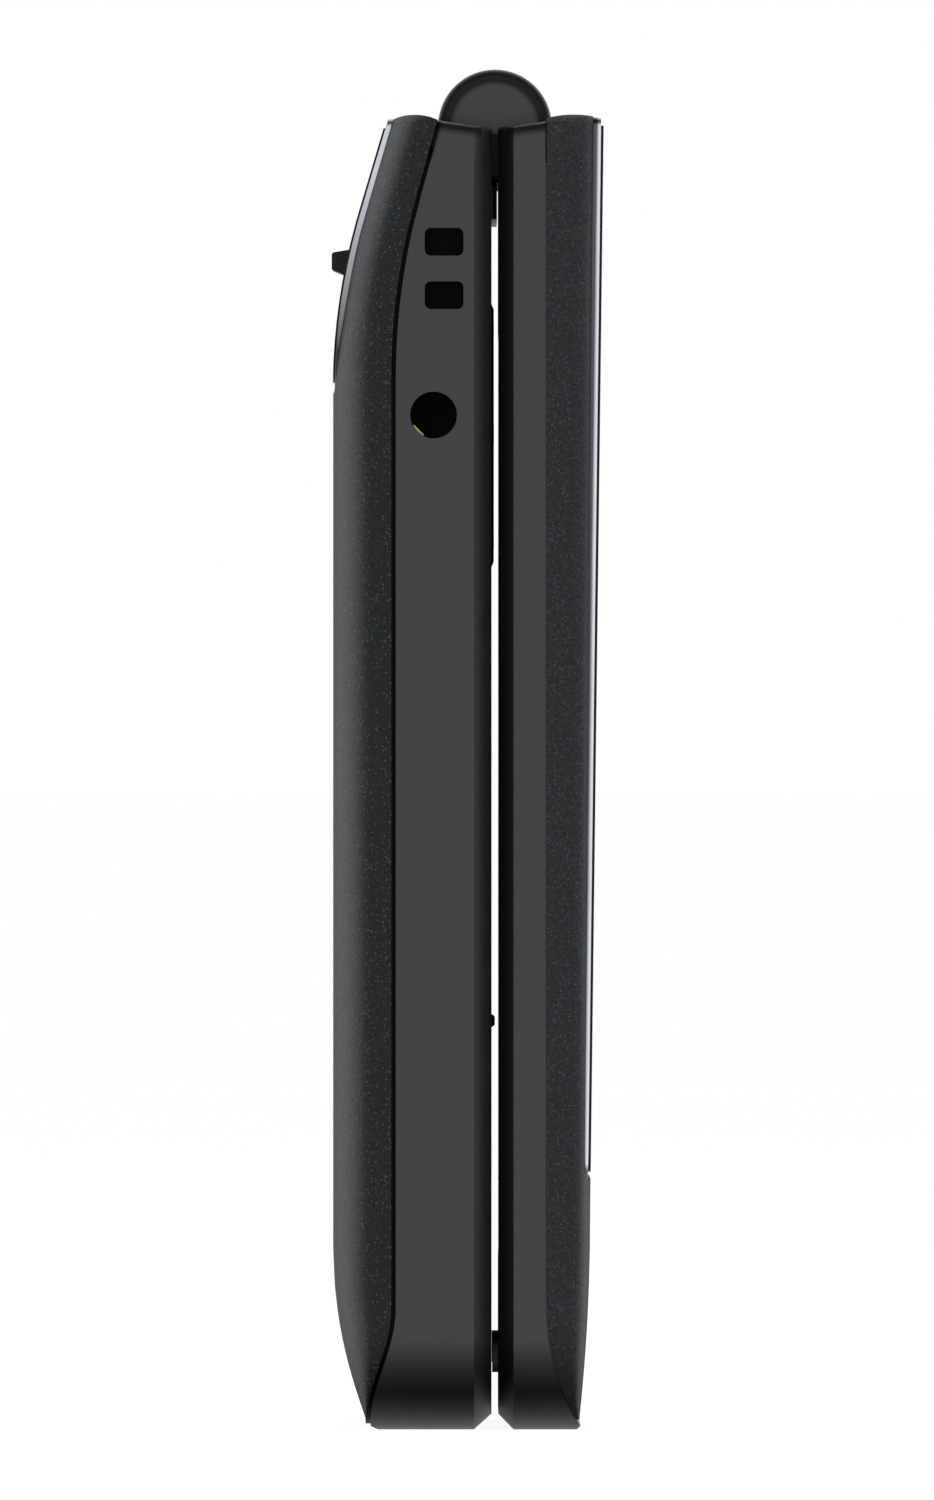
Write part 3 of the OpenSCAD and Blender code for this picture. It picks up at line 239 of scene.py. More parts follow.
COOL = (0.93, 0.97, 1.0, 1.0)
FRAME_BLACK = (0.0062, 0.0070, 0.0080)
# Black of bare plastic in the frame's holes, and of painted shade in its holes, groove, closed gap and bezel
BARE_BLACK_AND_SHADE = (0.0018, 0.0018, 0.002)
SATIN_BASE = (0.0200, 0.0228, 0.0252)
SATIN_LID = (0.0435, 0.047, 0.0515)
SATIN_FLAKE = (0.080, 0.088, 0.098)
KEY_BLACK = (0.011, 0.0115, 0.0125)
GLASS_BLACK = (0.0025, 0.0025, 0.003)
MARK_GREY = (0.42, 0.43, 0.45)
LENGTHWISE = (1.0, 1.0, 0.05)


def moulded(g, colour, mottle, grain, round_mm, edge_gain):
    """Tone, grain and normal of a moulded surface: slow mottling and rubbed edges."""
    fine = g.noise(grain, 2.0)
    tone = g.mix(g.noise(0.09, 3.0), lighter(colour, 1 - mottle), lighter(colour, 1 + mottle))
    tone = g.mix(g.spread(fine, 0.35, 0.65, 0.0, 0.6), tone, lighter(colour, 1 - 2 * mottle))
    normal = g.rounded(round_mm)
    worn = g.times(g.edges(normal), g.spread(g.noise(0.6, 3.0), 0.35, 0.7))
    return g.mix(worn, tone, lighter(colour, edge_gain)), fine, normal


def plastic(name, colour, rough, specular=0.4, grain=9.0, coat=0.0):
    """Moulded plastic with a fine grain."""
    g = material_graph(name)
    tone, fine, normal = moulded(g, colour, 0.08, grain, 0.12, 1.25)
    roughness = g.spread(g.noise(0.5, 3.0), 0.3, 0.7, rough - 0.04, rough + 0.04)
    g.shader(tone, roughness, Specular_IOR_Level=specular, Coat_Weight=coat,
             Coat_Roughness=0.1, Normal=g.bump(fine, 0.004, normal))
    return g.owner


def closed_gap(g, back):
    """1 near the parting plane where the gap is closed, up to a distance behind it."""
    return g.times(g.within(1, PLANE_Y - 0.7, PLANE_Y + back), g.within(2, *GAP_CLOSED))


def below_sides(g):
    """1 in the base frame's holes and groove, 0 on its sides and foot."""
    # Distance from the middle of the corner's round, the same all along a side
    side = g.most(g.minus(g.away(0), HALF_W - CORNER_R), 0.0)
    foot = g.most(g.minus(CORNER_R, g.axis(2)), 0.0)
    return g.times(g.spread(g.length(side, foot), CORNER_R - 0.1, CORNER_R - 0.18),
                   g.within(1, PLANE_Y + 2.0, PLANE_Y + 20.0),
                   g.within(2, -1.0, BODY_H - 2.5, 0.2))


def under_lips(g):
    """1 where the upper ends of the sides turn over into the vee under the barrel."""
    rise = g.times(g.away(1, PLANE_Y), math.tan(math.radians(VEE_DEG)))
    below = g.minus(g.math("ADD", rise, HINGE_Z - VEE_DROP), g.axis(2))
    return g.times(g.spread(below, 0.08, 0.22), g.spread(below, 1.0, 0.45),
                   g.spread(g.away(0), HALF_W - 0.6, HALF_W - 0.5))


def frame_plastic(name, colour, bezel_depth=None):
    """Satin-black plastic of a frame. The base's, which has no bezel depth, turns black and
    dull in its holes, its groove and where the gap is closed: bare black plastic in the
    holes, and painted shade there and in the groove and the gap. The lid's black bezel
    darkens inwards, a painted shade towards the gap."""
    g = material_graph(name)
    # Edges are softer at the upper ends of the sides
    rounding = g.spread(g.axis(2), 97.5, 98.5, 0.06, 0.5)
    tone, fine, normal = moulded(g, colour, 0.08, 8.0, rounding, 1.3)
    if bezel_depth:
        bezel = (PLANE_Y - bezel_depth, PLANE_Y)
        # The black bezel is darkened further towards the gap: painted shade
        shade_mask = g.times(g.within(1, *bezel), g.spread(g.axis(1), *bezel, 0.72, 0.95))
    else:
        # Painted shade in the holes, the groove and the closed gap, over bare black plastic in the holes
        shade_mask = g.most(below_sides(g), closed_gap(g, 0.2))
    # Gloss falls in the painted shade and under the lips, which paints a darker band below them
    gloss = g.times(g.spread(shade_mask, 0.0, 1.0, 0.70, 0.05),
                    g.spread(under_lips(g), 0.0, 1.0, 1.0, 0.2))
    roughness = g.spread(g.noise(0.5, 3.0), 0.3, 0.7, 0.31, 0.36)
    g.shader(g.mix(shade_mask, tone, BARE_BLACK_AND_SHADE), roughness, Specular_IOR_Level=gloss,
             Specular_Tint=COOL, Normal=g.bump(fine, 0.003, normal))
    return g.owner


def cap_plastic(name, colour):
    """End caps of the barrel: a satin disc inside a dished ring. Gloss is lowered on the ring and in the closed
    gap, a painted shade.
    """
    g = material_graph(name)
    tone, fine, normal = moulded(g, colour, 0.08, 8.0, 0.3, 1.3)
    radius = g.length(g.minus(g.axis(1), PLANE_Y), g.minus(g.axis(2), HINGE_Z))
    ring = g.times(g.spread(radius, 3.1, 3.5), g.spread(radius, 4.3, 4.05))
    # Painted shade: less gloss on the ring and in the closed gap
    shade_mask = g.most(ring, closed_gap(g, 0.3))
    g.shader(tone, 0.33, Specular_IOR_Level=g.spread(shade_mask, 0.0, 1.0, 0.68, 0.16),
             Specular_Tint=COOL, Normal=g.bump(fine, 0.003, normal))
    return g.owner


def satin(name, colour, rough, specular):
    """Satin paint with fine bright flakes. Its gloss dies out towards the rim."""
    g = material_graph(name)
    tone = g.mix(g.noise(0.07, 2.0), lighter(colour, 0.92), lighter(colour, 1.08))
    chance, tilt, _ = g.cells(9.0)
    tone = g.mix(chance, tone, lighter(colour, 0.5))
    share, _, reach = g.cells(6.0)
    spark = g.times(g.spread(share, 0.78, 0.98), g.spread(reach, 0.6, 0.3))
    tone = g.mix(spark, tone, SATIN_FLAKE)
    facing = g.node("ShaderNodeLayerWeight").outputs["Facing"]
    g.shader(tone, g.spread(tilt, 0.0, 1.0, rough - 0.05, rough + 0.05),
             Specular_IOR_Level=g.spread(facing, 0.5, 0.95, specular, specular * 0.05),
             Specular_Tint=COOL, Normal=g.bump(tilt, 0.008, g.rounded(0.05)))
    return g.owner


def metal(name, colour, rough, brushed=(1.0, 1.0, 1.0), round_mm=0.05, shade=None):
    """Metal with fine wear. brushed is the stretch of the brushing along each axis, and
    shade makes the mask that darkens the tone where it is 0."""
    g = material_graph(name)
    mapping = g.node("ShaderNodeMapping")
    g.link(g.space, mapping.inputs["Vector"])
    mapping.inputs["Scale"].default_value = brushed
    lines = g.noise(6.0, 4.0, space=mapping.outputs["Vector"])
    tone = g.mix(g.spread(lines, 0.3, 0.7), lighter(colour, 0.93), lighter(colour, 1.06))
    if shade:
        tone = g.mix(shade(g), lighter(colour, 0.12), tone)
    g.shader(tone, g.spread(lines, 0.3, 0.7, rough * 0.8, rough * 1.25), Metallic=1.0,
             Normal=g.bump(lines, 0.0006, g.rounded(round_mm)))
    return g.owner


def rim_shade(g):
    """Dark where the front trim sinks beside the cover, light along its outer edge."""
    rise = math.tan(math.radians(FRONT_DEG))
    outer_edge = g.minus(PLANE_Y - LID_DEPTH + FRONT_FOOT * rise + 0.2,
                         g.times(g.axis(2), rise))
    return g.spread(g.minus(g.axis(1), outer_edge), 0.34, 0.12)


def tongue_shade(g):
    """Darker towards the lower end of the camera's trim."""
    return g.spread(g.axis(2), 84.0, 97.0, 0.1, 0.9)


def glossy(name, colour, rough=0.06, specular=0.5, coat=0.0, window=None):
    """Glossy dark plastic or glass with faint smears. A window (half width, low, high)
    shows the resting display behind the black print."""
    g = material_graph(name)
    smear = g.noise(0.05, 4.0, 0.6)
    tone = g.mix(smear, lighter(colour, 0.85), lighter(colour, 1.15))
    if window:
        half, low, high = window
        pane = g.times(g.within(0, -half, half), g.within(2, low, high))
        cell = g.spread(g.noise(3.0, 1.0), 0.3, 0.7)
        tone = g.mix(pane, tone, g.mix(cell, (0.010, 0.013, 0.017), (0.014, 0.017, 0.022)))
    g.shader(tone, g.spread(smear, 0.35, 0.75, rough, rough + 0.05),
             Specular_IOR_Level=specular, Coat_Weight=coat, Coat_Roughness=0.03,
             Normal=g.bump(g.noise(0.4, 1.0), 0.0006, g.rounded(0.06)))
    return g.owner


def soft(name, colour, rough=0.7):
    """Silicone, rubber, film and print: dull, with a powdery grain."""
    g = material_graph(name)
    fine = g.noise(5.0, 3.0)
    tone = g.mix(fine, lighter(colour, 0.85), lighter(colour, 1.12))
    g.shader(tone, g.spread(fine, 0.3, 0.7, rough - 0.06, rough + 0.06),
             Specular_IOR_Level=0.25, Normal=g.bump(fine, 0.006, g.rounded(0.06)))
    return g.owner


def ripple(g, index, pitch):
    """Wave from -1 to 1 along an axis."""
    return g.math("SINE", g.times(g.axis(index), 2 * math.pi / pitch))


def ribbed(name, colour, pitch, place_x, half_w):
    """Grip with fine ribs, one above the other, across a width."""
    g = material_graph(name)
    tone, _, normal = moulded(g, colour, 0.1, 9.0, 0.1, 2.2)
    ribs = g.times(g.within(0, place_x - half_w, place_x + half_w, 0.1),
                   g.spread(ripple(g, 2, pitch), -1.0, 1.0))
    g.shader(tone, 0.4, Specular_IOR_Level=0.25, Normal=g.bump(ribs, 0.05, normal))
    return g.owner


def mesh_cloth(name, colour, pitch):
    """Fine woven mesh in front of a speaker."""
    g = material_graph(name)
    thread = g.spread(g.times(ripple(g, 0, pitch), ripple(g, 2, pitch)), -0.3, 0.6)
    tone = g.mix(thread, (0.002, 0.002, 0.002), colour)
    g.shader(tone, 0.6, Specular_IOR_Level=0.25, Normal=g.bump(thread, 0.05))
    return g.owner


def rocker_plastic(name, colour, place, reach):
    """Rocker with a plus at its upper end and a minus at its lower end, each at a
    reach from its middle."""
    g = material_graph(name)
    tone, fine, normal = moulded(g, colour, 0.08, 12.0, 0.12, 1.4)
    arm, stroke = 0.55, 0.11
    _, mid_y, mid_z = place
    bars = [g.times(g.within(1, mid_y - wide, mid_y + wide),
                    g.within(2, mid_z + end - tall, mid_z + end + tall))
            for end, wide, tall in ((reach, arm, stroke), (reach, stroke, arm),
                                    (-reach, arm, stroke))]
    g.shader(g.mix(g.most(*bars), tone, MARK_GREY), 0.42, Specular_IOR_Level=0.4,
             Normal=g.bump(fine, 0.003, normal))
    return g.owner


# Half width, low and high edge of the two displays' windows
OUTER_HALF_W, OUTER_HALF_H = 16.0, 12.0
MASK_SIDE, MASK_FOOT, MASK_HEAD = 1.5, 8.0, 6.0
outer_z = middle("outer_display")[2]
lens_low, lens_high = box_mm("display_lens")
outer_window = (OUTER_HALF_W, outer_z - OUTER_HALF_H, outer_z + OUTER_HALF_H)
main_window = (lens_high[0] - MASK_SIDE, lens_low[2] + MASK_FOOT, lens_high[2] - MASK_HEAD)

# One material for each slot of the record
materials = {
    "frame_plastic": frame_plastic("frame_plastic", FRAME_BLACK),
    "satin_paint": satin("satin_paint", SATIN_BASE, 0.42, 0.155),
    "black_glass": glossy("black_glass", GLASS_BLACK, specular=0.2),
    "bright_trim": metal("bright_trim", (0.66, 0.68, 0.73), 0.2, LENGTHWISE, 0.1,
                         tongue_shade),
    "key_plastic": plastic("key_plastic", KEY_BLACK, 0.4, grain=12.0),
    "green_key": plastic("green_key", KEY_BLACK, 0.4, grain=12.0),
    "red_key": plastic("red_key", KEY_BLACK, 0.4, grain=12.0),
    "black_plastic": plastic("black_plastic", (0.0022, 0.0022, 0.0025), 0.42, specular=0.15),
    "grey_plastic": plastic("grey_plastic", (0.10, 0.10, 0.11), 0.6),
    "silicone": soft("silicone", (0.32, 0.34, 0.36)),
    "black_rubber": soft("black_rubber", (0.004, 0.004, 0.004), 0.6),
    "steel": metal("steel", (0.55, 0.56, 0.58), 0.28, (1.0, 1.0, 6.0)),
    "gold_contact": metal("gold_contact", (0.42, 0.37, 0.125), 0.3),
    "board_green": plastic("board_green", (0.014, 0.15, 0.05), 0.35, coat=0.3),
    "polyester": soft("polyester", (0.78, 0.74, 0.58), 0.45),
    "battery_sleeve": soft("battery_sleeve", (0.66, 0.67, 0.64), 0.4),
    "lens": glossy("lens", (0.004, 0.005, 0.006), 0.04),
    "flash": glossy("flash", (0.85, 0.82, 0.68), 0.25, coat=1.0),
    "display": glossy("display", (0.02, 0.024, 0.03), 0.12),
    "magnet": metal("magnet", (0.33, 0.33, 0.35), 0.35),
}
# Nodes that look different from the rest of their slot
own_material = {
    "lid_frame": frame_plastic("lid_frame_plastic", FRAME_BLACK, FACE + LID_CHAMFER),
    "hinge_caps": cap_plastic("cap_plastic", FRAME_BLACK),
    "lid_cover": satin("lid_satin_paint", SATIN_LID, 0.42, 0.08),
    "lid_trim": metal("front_trim", (0.72, 0.74, 0.80), 0.14, LENGTHWISE, 0.08, rim_shade),
    "lid_glass": glossy("front_glass", GLASS_BLACK, specular=0.2, window=outer_window),
    "display_lens": glossy("display_glass", (0.003, 0.003, 0.0035), 0.04, window=main_window),
    "volume_rocker": rocker_plastic("rocker_plastic", KEY_BLACK, middle("volume_rocker"), 5.6),
    "sos_slider": ribbed("slider_grip", (0.0030, 0.0030, 0.0034), 0.45,
                         middle("sos_slider")[0], 2.4),
}
# What only the added pieces wear
printed = {
    "white_print": soft("white_print", (0.62, 0.63, 0.64), 0.5),
    "green_print": soft("green_print", (0.05, 0.42, 0.12), 0.5),
    "red_print": soft("red_print", (0.62, 0.05, 0.05), 0.5),
    "speaker_mesh": mesh_cloth("speaker_mesh", (0.03, 0.03, 0.032), 0.28),
    "ring_metal": metal("ring_metal", (0.30, 0.31, 0.33), 0.25),
    "lens_glass": glossy("lens_glass", (0.006, 0.006, 0.014), 0.03, coat=1.0),
}

for subpart in frame["record"]["subparts"]:
    node = subpart["node"]
    slots = nodes[node].data.materials
    slots.clear()
    slots.append(own_material.get(node) or materials[subpart["material_slot"]])


# ---- Smooth skins ----

# Distance within which a faceted skin's vertices are one
WELD = 0.0015
# Angle up to which its edges are shaded smoothly
SKIN_DEG = 22


def smooth_skin(node):
    """Welds a faceted skin and shades it smoothly."""
    group = bpy.data.node_groups.new("smooth_skin", "GeometryNodeTree")
    for way in ("INPUT", "OUTPUT"):
        group.interface.new_socket("Geometry", in_out=way, socket_type="NodeSocketGeometry")

    def add(kind, source=None, **settings):
        made = group.nodes.new(kind)
        for key, value in settings.items():
            setattr(made, key, value)
        if source is not None:
            group.links.new(source.outputs[0], made.inputs[0])
        return made

    bare = add("GeometryNodeRemoveAttribute", add("NodeGroupInput"))
    bare.inputs["Name"].default_value = "custom_normal"
    welded = add("GeometryNodeMergeByDistance", bare)
    welded.inputs["Distance"].default_value = WELD * MM
    smoothed = add("GeometryNodeSetShadeSmooth", welded, domain="FACE")
    smoothed.inputs["Shade Smooth"].default_value = True
    sharp = add("FunctionNodeCompare", add("GeometryNodeInputMeshEdgeAngle"),
                data_type="FLOAT", operation="GREATER_THAN")
    sharp.inputs[1].default_value = math.radians(SKIN_DEG)
    creased = add("GeometryNodeSetShadeSmooth", smoothed, domain="EDGE")
    group.links.new(sharp.outputs[0], creased.inputs["Selection"])
    creased.inputs["Shade Smooth"].default_value = False
    add("NodeGroupOutput", creased)
    nodes[node].modifiers.new("smooth_skin", "NODES").node_group = group


for skin in ("battery_cover", "lid_cover"):
    smooth_skin(skin)


# ---- Added pieces ----

# Angle up to which an added piece's edges are shaded smoothly
PIECE_DEG = 30.0
# Sides of a turned piece
TURN_SIDES = 64
# Steps round each rounded corner
CORNER_STEPS = 8
# Thickness of print and of cloth
PRINT_T, CLOTH_T = 0.02, 0.06
# Faces of the keys, of the navigation ring's crest and of the OK key
KEY_FRONT, RING_FRONT, OK_FRONT = (box_mm(key)[0][1] for key in ("key_1", "nav_ring", "ok_key"))


def base_back(z):
    """Depth of the base's back at a height above the rounding of its foot."""
    rise = max(0.0, z - LEAN_Z)
    lean = math.radians(LEAN_DEG)
    bend = LEAN_R * math.sin(lean)
    if rise <= bend:
        return BASE_DEPTH - LEAN_R + math.sqrt(LEAN_R ** 2 - rise ** 2)
    return BASE_DEPTH - LEAN_R * (1 - math.cos(lean)) - (rise - bend) * math.tan(lean)


def on_back(x, z):
    """Frame on the back's slope, whose Y axis points straight out of it."""
    lean = min(math.asin(max(0.0, z - LEAN_Z) / LEAN_R), math.radians(LEAN_DEG))
    return Matrix.Translation((x, PLANE_Y + base_back(z), z)) @ Matrix.Rotation(lean, 4, "X")


def finish(name, bm, place, body, material):
    """Turns a mesh in mm into a piece that rides a body."""
    bmesh.ops.remove_doubles(bm, verts=bm.verts, dist=1e-5)
    bmesh.ops.recalc_face_normals(bm, faces=bm.faces)
    mesh = bpy.data.meshes.new(name)
    bmesh.ops.transform(bm, matrix=Matrix.Scale(MM, 4) @ place, verts=bm.verts)
    bm.to_mesh(mesh)
    bm.free()
    mesh.shade_smooth()
    mesh.set_sharp_from_angle(angle=math.radians(PIECE_DEG))
    mesh.materials.append(material)
    piece = bpy.data.objects.new(name, mesh)
    bpy.context.scene.collection.objects.link(piece)
    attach(piece, body)


def turned(name, profile, place, body, material):
    """Turns (radius, height) points round the local Y axis."""
    bm = bmesh.new()
    rings = []
    for radius, height in profile:
        angles = [2 * math.pi * i / TURN_SIDES for i in range(TURN_SIDES if radius else 1)]
        rings.append([bm.verts.new((radius * math.cos(a), height, radius * math.sin(a)))
                      for a in angles])
    for low, high in zip(rings, rings[1:] + rings[:1]):
        if len(low) == 1 and len(high) == 1:
            continue
        for i in range(TURN_SIDES):
            j = (i + 1) % TURN_SIDES
            corners = [low[i % len(low)], low[j % len(low)],
                       high[j % len(high)], high[i % len(high)]]
            bm.faces.new(list(dict.fromkeys(corners)))
    finish(name, bm, place, body, material)


def plate(name, points, thick, place, body, material):
    """Thin plate: points (x, z) in its own plane, its front towards local -Y."""
    bm = bmesh.new()
    front = [bm.verts.new((x, 0.0, z)) for x, z in points]
    back = [bm.verts.new((x, thick, z)) for x, z in points]
    bm.faces.new(front)
    bm.faces.new(list(reversed(back)))
    for i in range(len(points)):
        j = (i + 1) % len(points)
        bm.faces.new((front[i], back[i], back[j], front[j]))
    finish(name, bm, place, body, material)


def rotated(points, degrees):
    c, s = math.cos(math.radians(degrees)), math.sin(math.radians(degrees))
    return [(x * c - y * s, x * s + y * c) for x, y in points]


def arc(start, end, steps):
    return [math.radians(start + (end - start) * i / steps) for i in range(steps + 1)]


def rounded_points(half_w, half_h, r):
    """Outline of a rectangle with rounded corners."""
    points = []
    for turn, (sx, sz) in enumerate(((1, 1), (-1, 1), (-1, -1), (1, -1))):
        for a in arc(90 * turn, 90 * turn + 90, CORNER_STEPS):
            points.append((sx * (half_w - r) + r * math.cos(a),
                           sz * (half_h - r) + r * math.sin(a)))
    return points


def handset_points(size, turn):
    """Outline of a telephone receiver: an arched grip between two rounded ends."""
    grip = [(math.cos(a), math.sin(a) - 0.55) for a in arc(150, 30, 12)]
    under = [(0.72 * math.cos(a), 0.72 * math.sin(a) - 0.60) for a in arc(52, 128, 8)]
    ear = [(0.98, -0.28), (0.90, -0.36), (0.58, -0.36), (0.50, -0.28)]
    mouth = [(-x, y) for x, y in reversed(ear)]
    return rotated([(x * size, y * size) for x, y in grip + ear + under + mouth], turn)


def print_place(x, z, front=KEY_FRONT):
    return Matrix.Translation((x, front - PRINT_T / 2, z))


def white_plate(key, suffix, points, x, z, front):
    """White print on a key, its front a half thickness proud of the key's."""
    plate("print_" + suffix, points, PRINT_T, print_place(x, z, front), key,
          printed["white_print"])


def lettering(key, text, size, drop=0.0, front=KEY_FRONT):
    """White sign on a key in Blender's own plain font, lowered by a drop."""
    name = "print_" + key
    curve = bpy.data.curves.new(name, "FONT")
    curve.body = text
    curve.size = size
    curve.align_x = "CENTER"
    curve.align_y = "CENTER"
    curve.extrude = PRINT_T / 2
    curve.resolution_u = 4
    maker = bpy.data.objects.new(name + "_curve", curve)
    bpy.context.scene.collection.objects.link(maker)
    bpy.context.view_layer.update()
    evaluated = maker.evaluated_get(bpy.context.evaluated_depsgraph_get())
    mesh = bpy.data.meshes.new_from_object(evaluated)
    bm = bmesh.new()
    bm.from_mesh(mesh)
    bpy.data.objects.remove(maker)
    bpy.data.meshes.remove(mesh)
    x, _, z = middle(key)
    place = Matrix.Translation((x, front, z - drop)) @ Matrix.Rotation(math.radians(90), 4, "X")
    finish(name, bm, place, key, printed["white_print"])


# Signs of the keys, row by row from the foot
SIGN_SIZE, STAR_SIZE, OK_SIZE = 3.9, 6.2, 2.9
# A star hangs high in its line
STAR_DROP = 1.3
# The middle key's nub stands under its number
NUB_RISE = 1.9
for sign in "*0#789456123":
    key = "key_" + {"*": "star", "#": "hash"}.get(sign, sign)
    if sign == "*":
        lettering(key, sign, STAR_SIZE, STAR_DROP)
    else:
        lettering(key, sign, SIGN_SIZE, -NUB_RISE if sign == "5" else 0.0)

HANDSET_SIZE = 2.3
for key, turn, colour in (("call_key", 0, "green"), ("end_key", 180, "red")):
    x, _, z = middle(key)
    plate("print_" + key, handset_points(HANDSET_SIZE, turn), PRINT_T, print_place(x, z), key,
          printed[colour + "_print"])
lettering("clear_key", "C", SIGN_SIZE)

# Half length, half width and rounding of a soft key's dash, and its rise on the key
DASH = (1.5, 0.22, 0.2)
DASH_RISE = 3.5
for key in ("soft_key_left", "soft_key_right"):
    x, _, z = middle(key)
    white_plate(key, key, rounded_points(*DASH), x, z + DASH_RISE, KEY_FRONT)

# Arrow on the navigation ring, pointing along its first axis
ARROW = ((8.75, 0.0), (7.65, 0.85), (7.65, -0.85))
x, _, z = middle("nav_ring")
for quarter, name in enumerate(("right", "up", "left", "down")):
    white_plate("nav_ring", "ring_" + name, rotated(ARROW, 90 * quarter), x, z, RING_FRONT)
lettering("ok_key", "OK", OK_SIZE, front=OK_FRONT)

# Camera: a bright seat, a stepped black cone and the domed lens in the middle. Heights
# are measured outwards from the line of the back.
camera_x, _, camera_z = middle("camera_module")
camera_place = on_back(camera_x, camera_z)
DOME_R, DOME_FOOT, DOME_RISE = 1.3, -0.5, 0.3
DOME_ANGLES = (0.2, 0.5, 0.8, 1.1, 1.4, 1.57)
turned("camera_ring", [(2.45, -0.36), (2.45, -0.30), (2.52, -0.26), (2.68, -0.26),
                       (2.74, -0.30), (2.74, -0.36)],
       camera_place, "base", printed["ring_metal"])
turned("camera_cone", [(1.35, -0.352), (1.35, -0.31), (1.55, -0.31), (1.65, -0.33),
                       (1.85, -0.33), (1.95, -0.31), (2.15, -0.31), (2.25, -0.352)],
       camera_place, "base", materials["black_plastic"])
turned("camera_dome", [(0.0, DOME_FOOT + DOME_RISE),
                       *((DOME_R * math.sin(a), DOME_FOOT + DOME_RISE * math.cos(a))
                         for a in DOME_ANGLES), (0.0, DOME_FOOT)],
       camera_place, "base", printed["lens_glass"])

# Cloth behind the sound slots and in the earpiece's slot
SPEAKER_CLOTH_DEPTH = 0.86
EAR_CLOTH_DEPTH = 0.45
speaker_x, _, speaker_z = middle("loudspeaker")
plate("speaker_cloth", rounded_points(6.2, 2.0, 0.4), CLOTH_T,
      on_back(speaker_x, speaker_z) @ Matrix.Translation((0, -SPEAKER_CLOTH_DEPTH, 0)), "base",
      printed["speaker_mesh"])
ear_x, _, ear_z = middle("earpiece")
plate("ear_cloth", rounded_points(4.45, 0.55, 0.5), CLOTH_T,
      Matrix.Translation((ear_x, PLANE_Y - FACE - EAR_CLOTH_DEPTH, ear_z)), "lid",
      printed["speaker_mesh"])


# ---- Stage, light and camera ----

WHITE = (1.0, 1.0, 1.0, 1.0)
FLOOR_REACH = 40000.0
FLOOR_GLOW = 0.93
# Strength of the world's light on matt surfaces, against that in mirrors
WORLD_LIT = 1.25


def white_glow(g, mirrored, lit):
    """Strength of a white background: 1 where it is seen, a share of that where
    glossy surfaces mirror it, and the light it gives to everything else."""
    path = g.node("ShaderNodeLightPath")
    seen = g.most(path.outputs["Is Camera Ray"], path.outputs["Is Transmission Ray"])
    gloss = path.outputs["Is Glossy Ray"]
    rest = g.times(g.minus(1.0, g.most(seen, gloss)), lit)
    return g.most(seen, g.times(gloss, mirrored), rest)


def make_floor():
    """Dark paper that shows white, so that it lights the phone little from below."""
    mesh = bpy.data.meshes.new("floor")
    reach = FLOOR_REACH * MM
    corners = [(sx * reach, sy * reach, 0) for sx, sy in ((-1, -1), (1, -1), (1, 1), (-1, 1))]
    mesh.from_pydata(corners, [], [(0, 1, 2, 3)])
    floor = bpy.data.objects.new("floor", mesh)
    bpy.context.scene.collection.objects.link(floor)
    g = Graph(bpy.data.materials.new("floor"))
    paper = g.node("ShaderNodeBsdfDiffuse")
    g.link(g.mix(g.noise(0.002, 2.0), (0.09, 0.09, 0.09), (0.11, 0.11, 0.11)),
           paper.inputs["Color"])
    glow = g.node("ShaderNodeEmission")
    glow.inputs["Color"].default_value = WHITE
    # Mirrored white beside and under the phone, and between them a painted shadow: a dark line along its foot that
    # glossy surfaces mirror
    mirrored = g.most(g.spread(g.away(0), 26.0, 44.0), g.spread(g.away(0), 25.0, 21.0, 0.0, 0.5))
    g.link(g.times(white_glow(g, mirrored, 0.0), FLOOR_GLOW), glow.inputs["Strength"])
    both = g.node("ShaderNodeAddShader")
    g.link(paper.outputs[0], both.inputs[0])
    g.link(glow.outputs[0], both.inputs[1])
    g.surface(both)
    mesh.materials.append(g.owner)


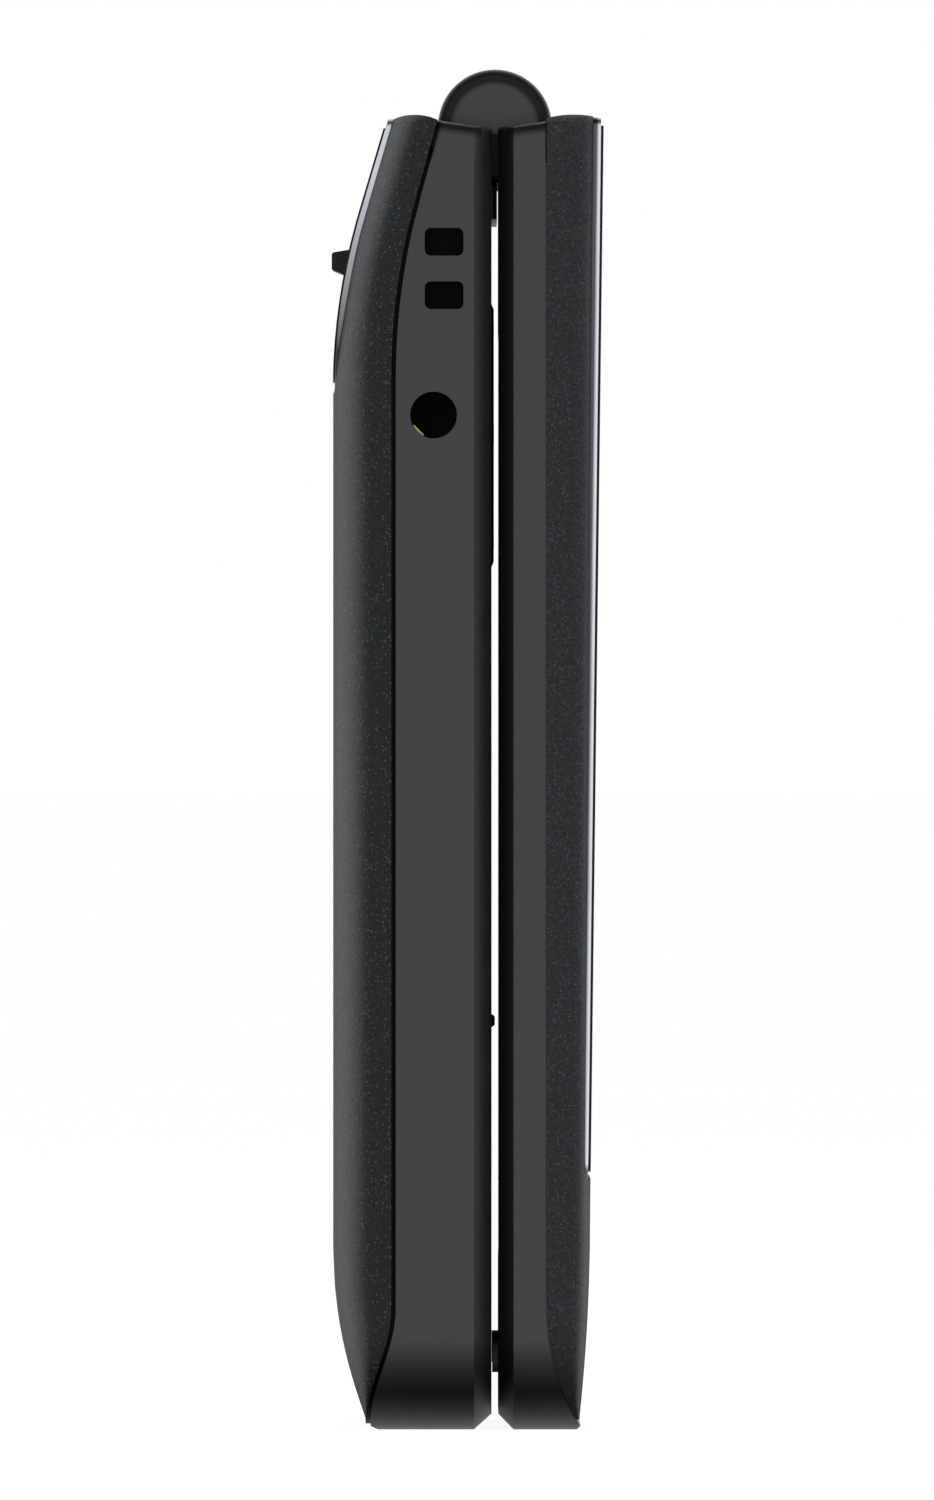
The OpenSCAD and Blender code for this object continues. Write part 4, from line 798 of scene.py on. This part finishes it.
def make_world():
    """Two broad walls of light at the phone's sides, and white behind everything."""
    world = bpy.data.worlds.new("studio")
    bpy.context.scene.world = world
    # Directions have no unit
    g = Graph(world, "Generated", 1.0)
    walls = g.spread(g.away(0), 0.2, 0.7, 0.1, 1.0, smooth=True)
    ends = g.spread(g.away(1), 0.5, 1.0, 0.0, 0.3, smooth=True)
    mirrored = g.most(walls, ends)
    glow = g.node("ShaderNodeBackground")
    glow.inputs["Color"].default_value = WHITE
    g.link(white_glow(g, mirrored, g.times(mirrored, WORLD_LIT)), glow.inputs["Strength"])
    g.surface(glow, "ShaderNodeOutputWorld")


# Middle height that the lamps are aimed at
AIM = Vector((0.0, 0.0, 52.0))


def soft_box(name, place, size, watts):
    """Broad lamp aimed at the phone. Glossy surfaces don't show it."""
    data = bpy.data.lights.new(name, "AREA")
    data.shape = "RECTANGLE"
    data.size, data.size_y = (side * MM for side in size)
    data.energy = watts
    lamp = bpy.data.objects.new(name, data)
    lamp.location = Vector(place) * MM
    lamp.rotation_mode = "QUATERNION"
    lamp.rotation_quaternion = (AIM - Vector(place)).to_track_quat("-Z", "Y")
    lamp.visible_glossy = False
    bpy.context.scene.collection.objects.link(lamp)


# Height that the photo covers at the phone's near side
VIEW_HEIGHT = 115.38
# What the photo's middle looks at
VIEW_Y, VIEW_Z = 0.03, 52.4


def make_camera():
    """Camera level with the phone, far off on its left side, as in the photo."""
    data = bpy.data.cameras.new("camera")
    data.type = "PERSP"
    data.lens = 900.0
    data.sensor_width = 36.0
    distance = VIEW_HEIGHT * data.lens / data.sensor_width
    camera = bpy.data.objects.new("camera", data)
    camera.location = (-(HALF_W + distance) * MM, VIEW_Y * MM, VIEW_Z * MM)
    camera.rotation_euler = (math.radians(90), 0, math.radians(-90))
    data.clip_start, data.clip_end = 0.1, 100.0
    bpy.context.scene.collection.objects.link(camera)
    bpy.context.scene.camera = camera


make_floor()
make_world()
soft_box("front_box", (100, -1000, 350), (700, 900), 7.0)
soft_box("back_box", (100, 1000, 350), (700, 900), 7.0)
soft_box("top_box", (0, 0, 1100), (800, 800), 5.0)
make_camera()
bpy.context.scene.view_settings.view_transform = "Standard"

bpy.context.view_layer.update()
